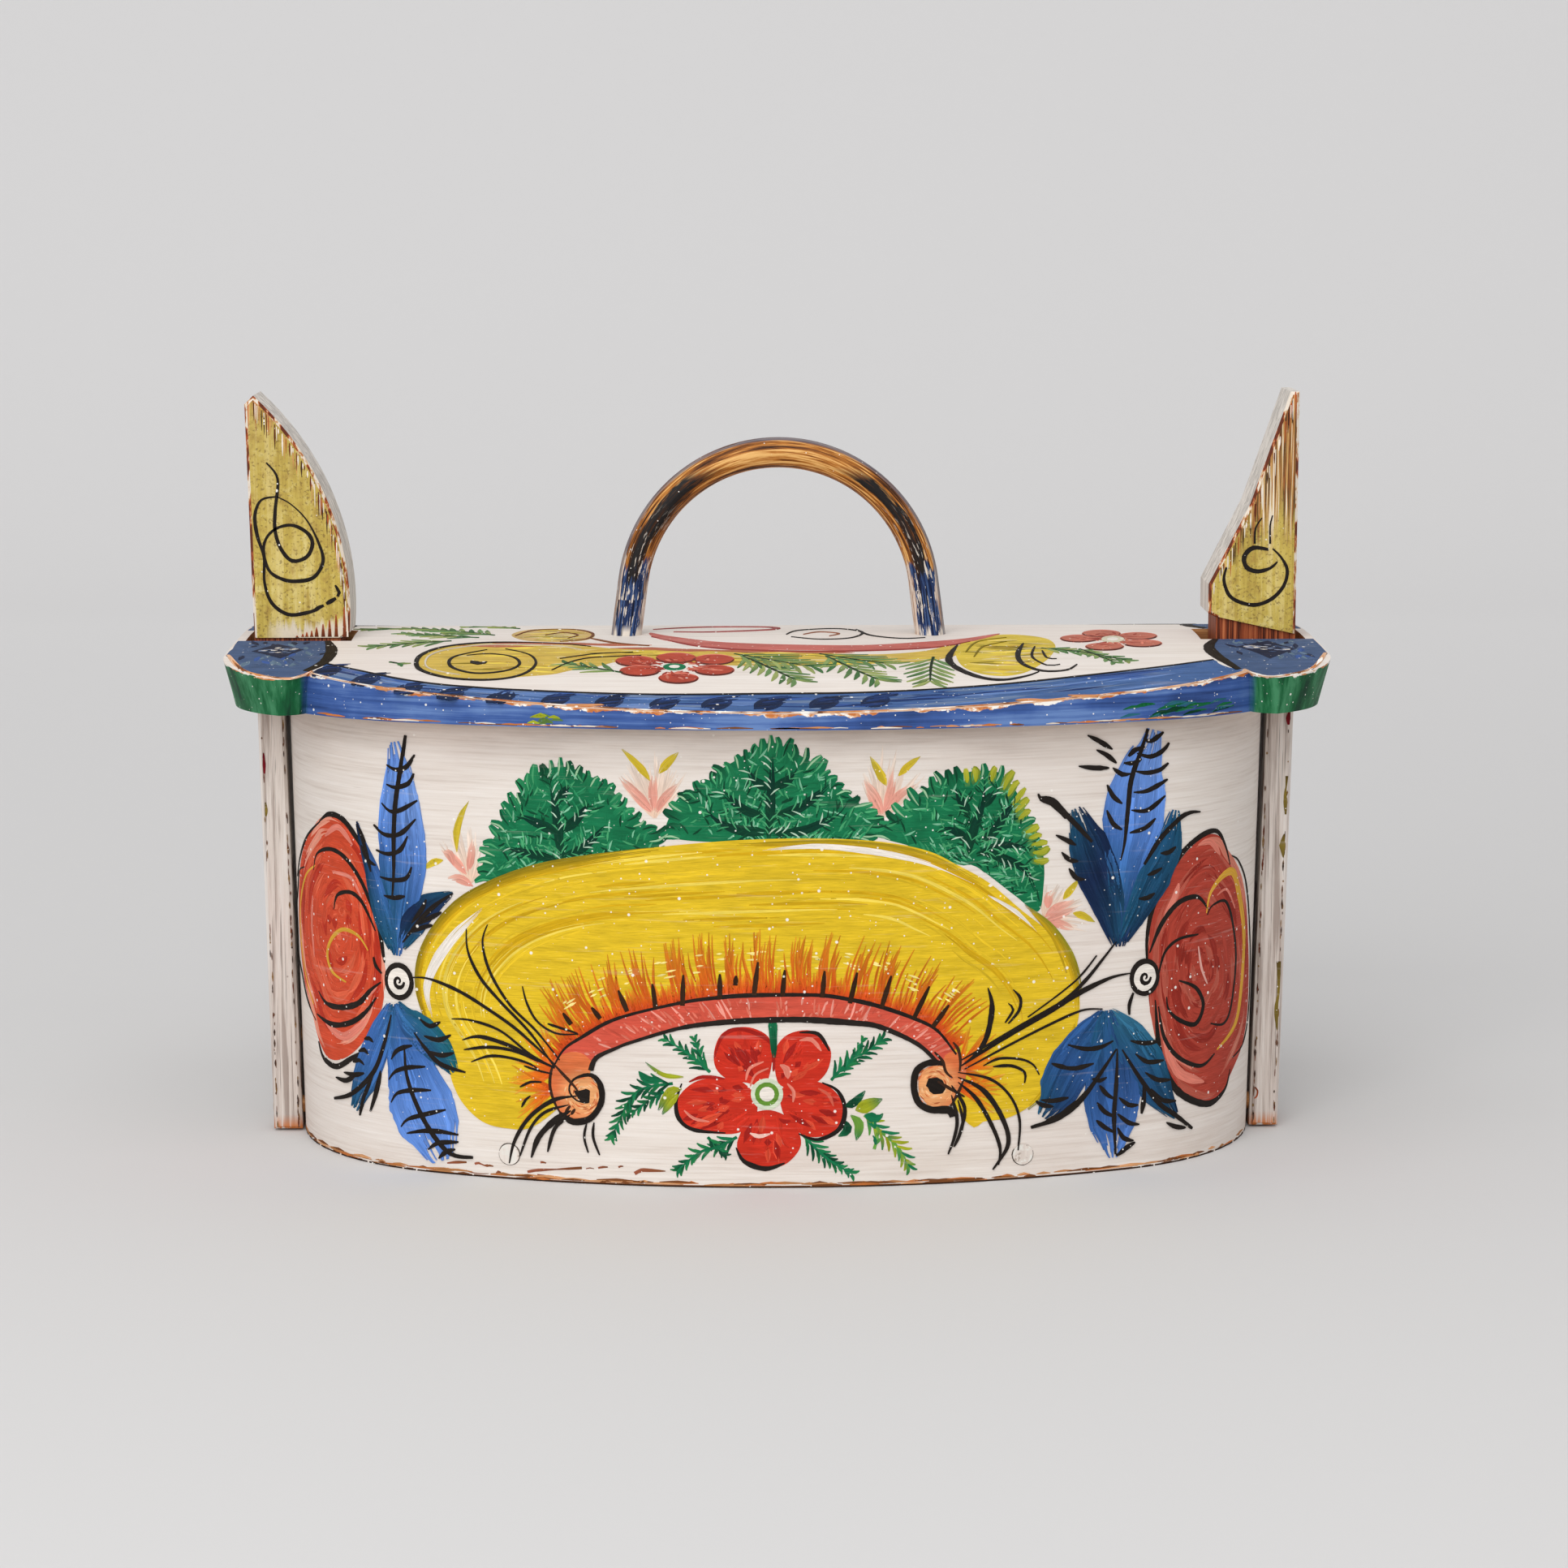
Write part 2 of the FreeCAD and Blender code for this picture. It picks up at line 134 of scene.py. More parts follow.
def add_camera():
    data = bpy.data.cameras.new("camera")
    data.sensor_width = SENSOR_WIDTH
    data.lens = LENS
    camera = bpy.data.objects.new("camera", data)
    camera.location = CAMERA_PLACE
    camera.rotation_euler = CAMERA_TURN
    bpy.context.scene.collection.objects.link(camera)
    bpy.context.scene.camera = camera


# Painted shade on the floor and painted light on the back of the paper.
PAPER_FLOOR_PAINTED_SHADE = pigment(208, 207, 206)
PAPER_BACK_PAINTED_LIGHT = pigment(233, 232, 231)
make_paper_sweep()
add_lamp("front_lamp", place=(-0.7, -2.4, 1.3), size=(2.0, 1.6), power=38.0)
add_lamp("overhead_lamp", place=(-0.2, -0.9, 2.4), size=(2.2, 1.6), power=19.0)
add_camera()
world = bpy.data.worlds.new("even_sky")
world.use_nodes = True
sky = world.node_tree.nodes["Background"]
sky.inputs["Color"].default_value = pigment(250, 250, 252)
sky.inputs["Strength"].default_value = SKY_STRENGTH
bpy.context.scene.world = world
bpy.context.scene.view_settings.view_transform = "Standard"

# --------------------------------------------------------------------------- body wall
# One thin strip of softwood, steamed and bent round the base, its ends lapped at the back.
# Outside it has a cream ground brushed on along the grain; inside the wood is left bare.
CREAM = pigment(223, 214, 205)
CREAM_SHADE = pigment(204, 192, 182)
CREAM_LIGHT = pigment(233, 226, 219)
BARE_WOOD = pigment(176, 122, 76)
BARE_WOOD_DARK = pigment(120, 72, 40)
BARE_WOOD_PALE = pigment(204, 158, 108)
WORN_WOOD = pigment(190, 112, 58)
SPECK_WHITE = pigment(240, 236, 228)
ARRIS = 0.0004
# Band just under the lid in which the cream is painted in shade.
LID_SHADE_TOP = 0.152
LID_SHADE_FOOT = 0.136
# Height below which the wall is painted darker.
LOW_DARKENING_TOP = 0.02


def round_arrises(piece, width=ARRIS):
    """Takes the sharpness off the edges of a piece, as handling does."""
    bevel = piece.modifiers.new("worn_arris", "BEVEL")
    bevel.width = width
    bevel.segments = 2
    bevel.limit_method = "ANGLE"
    bevel.angle_limit = math.radians(40)


def streaks(tree, place, stretch, detail=6.0, seed=0.0):
    """Noise drawn out along the grain: stretch gives its fineness along X, Y and Z."""
    spread = add(tree, "Mapping", {"Vector": place, "Scale": stretch, "Location": (seed, seed, seed)})
    return add(tree, "TexNoise", {"Vector": spread.outputs[0], "Scale": 1.0, "Detail": detail,
                                  "Roughness": 0.6}).outputs[0]


def spots(tree, place, spacing, radius, share):
    """Small round spots, about one in each cell of the spacing where its chance falls in the share."""
    cells = add(tree, "TexVoronoi", {"Vector": place, "Scale": 1.0 / spacing})
    near = add(tree, "MapRange", {"Value": cells.outputs["Distance"], "From Min": radius / spacing,
                                  "From Max": 0.7 * radius / spacing})
    chance = add(tree, "SeparateColor", {0: cells.outputs["Color"]}).outputs[0]
    chosen = add(tree, "Math", {0: chance, 1: share}, operation="LESS_THAN")
    return add(tree, "Math", {0: near.outputs[0], 1: chosen.outputs[0]}, operation="MULTIPLY").outputs[0]


def ramp(tree, factor, stops):
    """Colour or level picked by the factor from stops of (place, colour)."""
    node = add(tree, "ValToRGB", {"Fac": factor})
    elements = node.color_ramp.elements
    while len(elements) < len(stops):
        elements.new(0.5)
    for element, (position, colour) in zip(elements, stops):
        element.position = position
        element.color = colour
    return node.outputs[0]


def level(tree, value, low, high, floor=0.0, top=1.0):
    """Value drawn from low..high out to floor..top."""
    return add(tree, "MapRange", {"Value": value, "From Min": low, "From Max": high,
                                  "To Min": floor, "To Max": top}).outputs[0]


def over(tree, factor, below, above, mode="MIX"):
    """One colour laid over another."""
    return add(tree, "Mix", {0: factor, 6: below, 7: above}, data_type="RGBA", blend_type=mode).outputs[2]


def combine(tree, operation, first, second):
    return add(tree, "Math", {0: first, 1: second}, operation=operation).outputs[0]


def times(tree, first, second):
    return combine(tree, "MULTIPLY", first, second)


def set_surface(tree, shader, colour, rough, relief, depth=0.0002, strength=0.5):
    """Feeds the shader: colour, roughness and a low relief."""
    tree.links.new(colour, shader.inputs["Base Color"])
    tree.links.new(rough, shader.inputs["Roughness"])
    bump = add(tree, "Bump", {"Height": relief, "Distance": depth, "Strength": strength})
    tree.links.new(bump.outputs[0], shader.inputs["Normal"])
    shader.inputs["Specular IOR Level"].default_value = 0.16


def cream_coat(tree, place, run):
    """Cream ground brushed on along the axes of the run, with its grey and dark specks, and its relief."""
    broad = streaks(tree, place, [5.0 if along else 190.0 for along in run], seed=1.3)
    fine = streaks(tree, place, [34.0 if along else 1300.0 for along in run], seed=4.1)
    both = over(tree, 0.65, broad, fine)
    colour = ramp(tree, both, [(0.3, CREAM_SHADE), (0.47, CREAM), (0.66, CREAM_LIGHT)])
    hollows = streaks(tree, place, [60.0 if along else 1500.0 for along in run], seed=8.2)
    pores = level(tree, hollows, 0.66, 0.74)
    colour = over(tree, times(tree, pores, 0.3), colour, pigment(150, 128, 112))
    cloud = add(tree, "TexNoise", {"Vector": place, "Scale": 16.0, "Detail": 3.0}).outputs[0]
    colour = over(tree, level(tree, cloud, 0.45, 0.75, 0.0, 0.35), colour, pigment(214, 198, 190))
    colour = over(tree, times(tree, spots(tree, place, 0.011, 0.0005, 0.35), 0.8), colour, SPECK_WHITE)
    dark_specks = times(tree, spots(tree, place, 0.017, 0.0004, 0.22), 0.55)
    colour = over(tree, dark_specks, colour, pigment(110, 90, 78))
    return colour, both


def bare_softwood(tree, place, run):
    """Aged softwood: light early wood, darker late wood, and its relief."""
    bands = streaks(tree, place, [6.0 if along else 260.0 for along in run], seed=2.7)
    fibres = streaks(tree, place, [40.0 if along else 1600.0 for along in run], seed=5.5)
    tone = over(tree, 0.35, bands, fibres)
    return ramp(tree, tone, [(0.34, BARE_WOOD_DARK), (0.5, BARE_WOOD), (0.66, BARE_WOOD_PALE)]), tone


def wall_finish():
    finish, tree, shader = new_finish("cream_wall_paint")
    texture = add(tree, "TexCoord")
    place, facing = texture.outputs["Object"], texture.outputs["Normal"]
    paint, relief = cream_coat(tree, place, (True, True, False))
    height = add(tree, "SeparateXYZ", {0: place}).outputs["Z"]
    # Painted shade: just under the lid the cream is greyed in blotches, where the lid's overhang shades the
    # wall.
    blotches = streaks(tree, place, (14.0, 14.0, 60.0), seed=7.7)
    near_lid = level(tree, height, LID_SHADE_FOOT, LID_SHADE_TOP)
    painted_shade_under_lid = times(tree, near_lid, level(tree, blotches, 0.4, 0.7))
    paint = over(tree, times(tree, painted_shade_under_lid, 0.45), paint, pigment(128, 116, 108))
    # The wall is painted darker and browner, in blotches, towards its bottom.
    low_darkening = times(tree, level(tree, height, LOW_DARKENING_TOP, 0.0), level(tree, blotches, 0.45, 0.75))
    paint = over(tree, times(tree, low_darkening, 0.5), paint, pigment(178, 150, 130))
    wood, wood_relief = bare_softwood(tree, place, (True, True, False))
    outward = add(tree, "VectorMath", {0: place, 1: facing}, operation="MULTIPLY")
    parts = add(tree, "SeparateXYZ", {0: outward.outputs[0]})
    away_from_middle = combine(tree, "ADD", parts.outputs[0], parts.outputs[1])
    outside = combine(tree, "GREATER_THAN", away_from_middle, 0.0005)
    colour = over(tree, outside, wood, paint)
    rough = level(tree, relief, 0.3, 0.7, 0.62, 0.5)
    set_surface(tree, shader, colour, rough, over(tree, outside, wood_relief, relief))
    return finish


def dress(node, finish, arris=ARRIS):
    """Gives a construction piece its finish and rounds its edges."""
    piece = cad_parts[node]
    for place in piece.material_slots:
        place.material = finish
    round_arrises(piece, arris)


WALL_PAINT = wall_finish()
dress("body_wall", WALL_PAINT)

# ---------------------------------------------------------------- painting on the wall
# Rose painting in oil colours over the cream ground, laid on freehand with round brushes.
# Each stroke is a thin closed film that follows the wood; later strokes lie on earlier ones.
BODY_LENGTH = 335.0
BODY_DEPTH = 195.0
BODY_END_RADIUS = 80.0
WALL_HEIGHT = 153.5
END_FLARE = 3.0
SIDE_FLARE = 1.8
COAT = 0.025
FILM_ROOT = 0.12
STROKE_LIFT = 0.0003
STROKES_IN_TURN = 60
HAIR_OVERLAP = 1.5
WIDEST_COLUMN = 3.5
INK = pigment(36, 31, 28)
METRE = 0.001
FRAME_PIXELS = 1932
PIXEL = 0.28
WALL_MIDDLE = 76.0
PICK_ROUNDS = 40
PICK_STEP = 0.05
PICK_REACH = 15.0
PICK_MISS = 0.01
FOCAL = LENS / SENSOR_WIDTH * FRAME_PIXELS
SIGHT = (Matrix.Translation(CAMERA_PLACE) @ Euler(CAMERA_TURN).to_matrix().to_4x4()).inverted()


def oval_place(half_length, half_depth, end_radius, along):
    """Point and outward direction on an oval, at a distance along it from the middle of the front."""
    end_centre = half_length - end_radius
    side_radius = (end_centre**2 + half_depth**2 - end_radius**2) / (2 * (half_depth - end_radius))
    offset = side_radius - half_depth
    corner = math.atan2(end_centre, offset)
    side_length = side_radius * corner
    quarter = side_length + end_radius * (math.pi / 2 - corner)
    run = abs(along)
    rear = run > quarter
    if rear:
        run = 2 * quarter - run
    if run <= side_length:
        turn = run / side_radius
        x, y = side_radius * math.sin(turn), offset - side_radius * math.cos(turn)
    else:
        turn = corner + (run - side_length) / end_radius
        x, y = end_centre + end_radius * math.sin(turn), -end_radius * math.cos(turn)
    across, toward = math.sin(turn), -math.cos(turn)
    if rear:
        y, toward = -y, -toward
    if along < 0:
        x, across = -x, -across
    return Vector((x, y, 0.0)), Vector((across, toward, 0.0))


def on_wall(along, height, lift):
    """Point off the outside of the wall, at a distance round from the middle of the front."""
    below_rim = 1 - height / WALL_HEIGHT
    side_in = SIDE_FLARE * below_rim
    point, outward = oval_place(BODY_LENGTH / 2 - END_FLARE * below_rim, BODY_DEPTH / 2 - side_in,
                                BODY_END_RADIUS - side_in, along)
    return (point + outward * lift + Vector((0.0, 0.0, height))) * METRE


def on_frame(point):
    """Pixel of the camera's frame at which it sees a point."""
    x, y, z = SIGHT @ point
    return Vector((FRAME_PIXELS / 2 - FOCAL * x / z, FRAME_PIXELS / 2 + FOCAL * y / z))


def spots_on(place, level, pixels):
    """Canvas points of a surface that the camera sees at these pixels, sought from a level of it."""
    spots = []
    for pixel in pixels:
        spot = Vector(((pixel[0] - FRAME_PIXELS / 2) * PIXEL, level))
        for _ in range(PICK_ROUNDS):
            seen = on_frame(place(*spot, 0.0))
            miss = Vector(pixel) - seen
            if miss.length < PICK_MISS:
                break
            slopes = [(on_frame(place(*(spot + nudge), 0.0)) - seen) / PICK_STEP
                      for nudge in (Vector((PICK_STEP, 0.0)), Vector((0.0, PICK_STEP)))]
            move = Matrix(slopes).transposed().inverted_safe() @ miss
            spot += move * min(1.0, PICK_REACH / max(move.length, PICK_STEP))
        spots.append(spot)
    return spots


def wall_line(pixels):
    return spots_on(on_wall, WALL_MIDDLE, pixels)


def wall_spot(pixel):
    return wall_line([pixel])[0]


def smooth(knots, step, closed=False):
    """Points along a soft curve through the knots, about one step apart."""
    count = len(knots)
    curve = []
    for span in range(count if closed else count - 1):
        places = [span + shift for shift in (-1, 0, 1, 2)]
        before, start, end, after = [knots[place % count if closed else min(max(place, 0), count - 1)]
                                     for place in places]
        pieces = max(1, round(math.dist(start, end) / step))
        for piece in range(pieces):
            t = piece / pieces
            curve.append(tuple(0.5 * (2 * b + (c - a) * t + (2 * a - 5 * b + 4 * c - d) * t**2
                                      + (3 * b - a - 3 * c + d) * t**3)
                               for a, b, c, d in zip(before, start, end, after)))
    return curve if closed else curve + [tuple(knots[-1])]


def along_list(values, share):
    """Value at a share of the way along a list, between its two neighbours."""
    place = share * (len(values) - 1)
    index = min(int(place), len(values) - 2) if len(values) > 1 else 0
    if len(values) == 1:
        return values[0]
    rest = place - index
    first, second = values[index], values[index + 1]
    if isinstance(first, tuple):
        return tuple(a + (b - a) * rest for a, b in zip(first, second))
    return first + (second - first) * rest


def within(outline, point):
    """Whether a point lies inside a closed outline."""
    inside = False
    x, y = point
    for (ax, ay), (bx, by) in zip(outline, outline[1:] + outline[:1]):
        if (ay > y) != (by > y) and x < ax + (y - ay) / (by - ay) * (bx - ax):
            inside = not inside
    return inside


def toned(colour, tone):
    return tuple(min(1.0, part * tone) for part in colour[:3]) + (1.0,)


class PaintFilm:
    """Strokes of one motif, gathered into one thin mesh on one surface."""

    def __init__(self, name, place, first_coat=0):
        self.name = name
        self.place = place
        self.first_coat = first_coat
        self.points = []
        self.faces = []
        self.colours = []
        self.hairs = []
        self.laid = 0
        self.chance = random.Random(name)

    def lay(self, flat, faces, colours, hairs, coat):
        """Adds a film: its top face, the same face just under the surface, and its rim."""
        self.laid += 1
        lift = (self.first_coat + coat + 1) * COAT + STROKE_LIFT * (self.laid % STROKES_IN_TURN)
        first, count = len(self.points), len(flat)
        for height in (lift, -FILM_ROOT):
            self.points += [self.place(a, b, height) for a, b in flat]
            self.colours += colours
            self.hairs += hairs
        sides = {(a, b) for face in faces for a, b in zip(face, face[1:] + face[:1])}
        rims = sorted(side for side in sides if side[::-1] not in sides)
        self.faces += [[first + corner for corner in face] for face in faces]
        self.faces += [[first + count + corner for corner in reversed(face)] for face in faces]
        self.faces += [[first + b, first + a, first + count + a, first + count + b] for a, b in rims]

    def brush(self, route, widths, paints, coat, hairs=1, dry=0.0, right_paints=None, tone=0.07, step=1.2):
        """One pull of the brush: its hairs run side by side and may lift off unevenly."""
        line = [Vector(point) for point in smooth(route, step)]
        last = len(line) - 1
        leans = []
        for index in range(last + 1):
            ahead = line[min(index + 1, last)] - line[max(index - 1, 0)]
            leans.append(Vector((-ahead.y, ahead.x)).normalized() if ahead.length > 0 else Vector((0, 1)))
        for hair in range(hairs):
            across = 0.0 if hairs == 1 else ((hair + 0.5 + self.chance.uniform(-0.3, 0.3)) / hairs * 2 - 1)
            first = int(self.chance.random() * dry * 0.4 * last)
            stop = last - int(self.chance.random() * dry * last)
            if stop - first < 2:
                continue
            tint = 1 + self.chance.gauss(0, tone)
            shift = self.chance.uniform(0, 500)
            wave = self.chance.uniform(0, 500)
            broadest = max(widths) / hairs * (HAIR_OVERLAP if hairs > 1 else 1.0)
            columns = max(1, math.ceil(broadest / WIDEST_COLUMN))
            flat, colours, threads = [], [], []
            for index in range(first, stop + 1):
                share = index / last
                half = along_list(widths, share) / 2
                reach = half
                if hairs > 1:
                    part = (index - first) / (stop - first)
                    reach = half / hairs * HAIR_OVERLAP * max(0.25, min(1.0, part * 6, (1 - part) * 4))
                reach *= 1 + 0.16 * noise.noise((index * step * 0.55, wave, 0.0))
                middle = line[index] + leans[index] * (across * half)
                paint = along_list(paints, share)
                if right_paints:
                    other = along_list(right_paints, share)
                    mixing = (1 - across) / 2
                    paint = tuple(a + (b - a) * mixing for a, b in zip(paint, other))
                for column in range(columns + 1):
                    side = column / columns * 2 - 1
                    flat.append(tuple(middle + leans[index] * side * reach))
                    colours.append(toned(paint, tint))
                    threads.append((index * step, side * reach + shift))
            rows = stop - first
            width = columns + 1
            faces = [[row * width + column, (row + 1) * width + column,
                      (row + 1) * width + column + 1, row * width + column + 1]
                     for row in range(rows) for column in range(columns)]
            self.lay(flat, faces, colours, threads, coat)

    def patch(self, outline, paint, coat, gap=4.0, mottle=0.06, soft=True, shade=None):
        """Area filled with one paint, or with the paint that shade gives for each point."""
        rim = smooth(outline, 1.5, closed=True) if soft else outline
        low = [min(point[axis] for point in rim) for axis in (0, 1)]
        high = [max(point[axis] for point in rim) for axis in (0, 1)]
        inner = [(low[0] + gap * (column + 0.5 * (row % 2)), low[1] + gap * row)
                 for row in range(int((high[1] - low[1]) / gap) + 1)
                 for column in range(int((high[0] - low[0]) / gap) + 1)]
        inner = [point for point in inner if within(rim, point)
                 and min(math.dist(point, edge) for edge in rim) > 0.45 * gap]
        corners = [Vector(point) for point in rim + inner]
        edges = [(index, (index + 1) % len(rim)) for index in range(len(rim))]
        places, _, triangles, *_ = geometry.delaunay_2d_cdt(corners, edges, [], 1, 1e-4)
        flat = [tuple(place) for place in places]
        colours = []
        for a, b in flat:
            cloud = 1 + mottle * noise.noise((a / 7, b / 7, len(rim)))
            colours.append(toned(shade(a, b) if shade else paint, cloud))
        self.lay(flat, [list(triangle) for triangle in triangles], colours, flat, coat)

    def dry(self, body, slot):
        """Makes the mesh, and fixes the motif to the piece that it is painted on."""
        piece = mesh_piece(self.name, self.points, self.faces)
        mesh = piece.data
        paint = mesh.color_attributes.new("paint", "FLOAT_COLOR", "POINT")
        paint.data.foreach_set("color", [part for colour in self.colours for part in colour])
        threads = mesh.uv_layers.new(name="brush_hairs")
        threads.data.foreach_set("uv", [part for loop in mesh.loops
                                        for part in self.hairs[loop.vertex_index]])
        mesh.shade_smooth()
        mesh.set_sharp_from_angle(angle=math.radians(30))
        mesh.materials.append(PAINTING)
        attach(piece, body)


def grey(brightness):
    return (brightness, brightness, brightness, 1)


def painting_finish():
    """Oil paint: streaks along the brush hairs, thin places where the ground shows, and flecks."""
    finish, tree, shader = new_finish("rose_painting")
    paint = add(tree, "Attribute", attribute_name="paint").outputs["Color"]
    threads = add(tree, "UVMap", uv_map="brush_hairs").outputs[0]
    place = add(tree, "TexCoord").outputs["Object"]
    hair = streaks(tree, threads, (0.16, 2.6, 1.0))
    broad = streaks(tree, threads, (0.05, 0.45, 1.0), detail=3.0, seed=3.0)
    by_hair = ramp(tree, hair, [(0.3, grey(0.78)), (0.5, grey(0.98)), (0.7, grey(1.14))])
    by_load = ramp(tree, broad, [(0.35, grey(0.86)), (0.6, grey(1.06))])
    colour = over(tree, 1.0, paint, by_hair, "MULTIPLY")
    colour = over(tree, 1.0, colour, by_load, "MULTIPLY")
    brightness = add(tree, "RGBToBW", {0: paint}).outputs[0]
    sheer = level(tree, brightness, 0.01, 0.1)
    thin = times(tree, level(tree, hair, 0.64, 0.74, 0.0, 0.35), sheer)
    colour = over(tree, thin, colour, CREAM)
    grain = streaks(tree, place, (30.0, 30.0, 700.0), seed=6.0)
    colour = over(tree, times(tree, level(tree, grain, 0.6, 0.7, 0.0, 0.12), sheer), colour, CREAM)
    for spacing, radius, share in ((0.0055, 0.0006, 0.5), (0.0031, 0.00034, 0.45), (0.0017, 0.0002, 0.25)):
        specks = times(tree, spots(tree, place, spacing, radius, share), 0.9)
        colour = over(tree, specks, colour, SPECK_WHITE)
    rough = level(tree, hair, 0.3, 0.7, 0.66, 0.5)
    set_surface(tree, shader, colour, rough, over(tree, 0.4, hair, grain), depth=0.00012, strength=0.6)
    shader.inputs["Specular IOR Level"].default_value = 0.06
    return finish


PAINTING = painting_finish()

# Yellow cartouche: a kidney-shaped field with an olive rim and white lights, flames that rise
# from the red band along its hollow side, and a round scroll at each end of the band.
YELLOW = pigment(219, 184, 40)
YELLOW_DEEP = pigment(206, 164, 24)
YELLOW_PALE = pigment(232, 206, 84)
OLIVE = pigment(128, 112, 24)
FLAME_RED = pigment(198, 62, 28)
FLAME_ORANGE = pigment(222, 112, 28)
BAND_RED = pigment(204, 84, 66)
BAND_PINK = pigment(228, 148, 132)
SCROLL_PEACH = pigment(230, 164, 108)
SCROLL_ORANGE = pigment(214, 112, 66)
WHITE = pigment(232, 224, 214)
CROWN = wall_line((
    (657, 1388), (624, 1390), (595, 1382), (572, 1361), (559, 1337), (552, 1312), (541, 1281), (523, 1252),
    (512, 1219), (515, 1183), (532, 1146), (563, 1112), (603, 1088), (654, 1069), (708, 1057), (760, 1050),
    (817, 1043), (912, 1035), (1008, 1033), (1084, 1037), (1142, 1048), (1180, 1066), (1219, 1088),
    (1258, 1121), (1289, 1146), (1312, 1177), (1326, 1208), (1330, 1240), (1324, 1275), (1312, 1306),
    (1295, 1337), (1271, 1361), (1242, 1377), (1211, 1382)))
HOLLOW = wall_line((
    (728, 1319), (735, 1303), (760, 1291), (778, 1284), (836, 1267), (885, 1260), (931, 1257), (977, 1256),
    (1008, 1257), (1050, 1260), (1084, 1265), (1130, 1286), (1155, 1309)))
BAND_TOP = wall_line((
    (683, 1313), (695, 1293), (715, 1279), (760, 1255), (836, 1236), (885, 1229), (931, 1226), (1008, 1226),
    (1050, 1232), (1084, 1240), (1127, 1255), (1155, 1270), (1178, 1299)))
RIGHT_FOOT = wall_line(((1200, 1389), (1180, 1368)))
LEFT_FOOT = wall_line(((701, 1353),))
FIELD_HEART = wall_spot((958, 1377))
RIM_STROKES = (
    (((544, 1288), (526, 1255), (516, 1219), (518, 1184), (534, 1149), (564, 1115), (604, 1092),
      (654, 1074), (708, 1063), (760, 1055), (817, 1048), (901, 1041)),
     (1.2, 2.6, 3.4, 4.0, 3.4, 1.2), (OLIVE, OLIVE, pigment(160, 140, 30)), 7),
    (((905, 1041), (1008, 1039), (1084, 1043), (1142, 1055), (1180, 1072), (1219, 1094)),
     (0.8, 2.2, 2.4, 1.0), (OLIVE, pigment(176, 150, 36)), 4),
    (((1262, 1115), (1293, 1142), (1316, 1178), (1327, 1216), (1327, 1262)), (0.5, 2.4, 3.4, 3.0, 0.6),
     (pigment(136, 136, 40), OLIVE), 6),
    (((1270, 1123), (1297, 1156), (1312, 1193), (1317, 1216)), (0.4, 0.9, 0.3), (OLIVE,), 1),
    (((1325, 1259), (1314, 1302), (1293, 1339), (1264, 1368)), (0.6, 3.4, 3.6, 0.8),
     (pigment(120, 130, 40),), 5))
LIGHT_STROKES = (
    (((534, 1256), (527, 1230), (528, 1208), (541, 1179), (563, 1150), (595, 1119)),
     (0.6, 2.6, 3.6, 3.0, 0.4), 7),
    (((937, 1048), (1008, 1043), (1084, 1051), (1142, 1064), (1200, 1089)), (0.4, 1.4, 1.8, 1.6, 0.4), 3),
    (((1217, 1103), (1250, 1123), (1277, 1148)), (0.4, 1.2, 0.2), 2))

SWEEPS = 90
cartouche = PaintFilm("wall_cartouche", on_wall, first_coat=8)
chance = cartouche.chance
cartouche.patch(CROWN + RIGHT_FOOT + HOLLOW[::-1] + LEFT_FOOT, YELLOW, 0)
outer_edge, lower_edge, upper_edge = smooth(CROWN, 4.0), smooth(HOLLOW, 1.0), smooth(BAND_TOP, 1.0)
for sweep in range(SWEEPS):
    start, length = chance.uniform(0.08, 0.75), chance.uniform(0.08, 0.22)
    depth = 2.5 + 26 * chance.random()
    first = int(start * len(outer_edge))
    stretch = outer_edge[first:first + max(4, int(length * len(outer_edge)))]
    route = [Vector(point) + (FIELD_HEART - Vector(point)).normalized() * depth for point in stretch]
    tint = chance.choice((YELLOW_DEEP, YELLOW_PALE, YELLOW, YELLOW))
    cartouche.brush(route[::2], (0.3, 1.1, 0.9, 0.2), (tint,), 1, step=3.0)
for pixels, widths, paints, hairs in RIM_STROKES:
    cartouche.brush(wall_line(pixels), widths, paints, 2, hairs=hairs, dry=0.25,
                    right_paints=(YELLOW_DEEP,))
for pixels, widths, hairs in LIGHT_STROKES:
    cartouche.brush(wall_line(pixels), widths, (WHITE,), 3, hairs=hairs, dry=0.25, tone=0.03)

# The flames: a low fringe of licks, taller tongues of fine hairs with pale dabs between their
# roots, and embers that fan out from both ends of the band.
LICKS = 300
FLAME_TONGUES = (0.09, 0.15, 0.21, 0.28, 0.35, 0.41, 0.475, 0.535, 0.60, 0.66, 0.725, 0.79, 0.86, 0.93)
TONGUE_HAIRS = 15
DABS_PER_GAP = 5
EMBERS = 130
EMBER_FANS = ((wall_spot((684, 1319)), 1.75, 3.9), (wall_spot((1182, 1316)), -0.75, 1.4),
              (wall_spot((682, 1342)), 2.6, 4.1), (wall_spot((1180, 1340)), -0.7, 0.5))


def flame_root(share):
    """Point on the band's upper edge and the direction in which flames rise from it."""
    index = min(int(share * len(upper_edge)), len(upper_edge) - 4)
    here = Vector(upper_edge[index])
    ahead = Vector(upper_edge[index + 3]) - here
    return here, Vector((-ahead.y, ahead.x)).normalized()


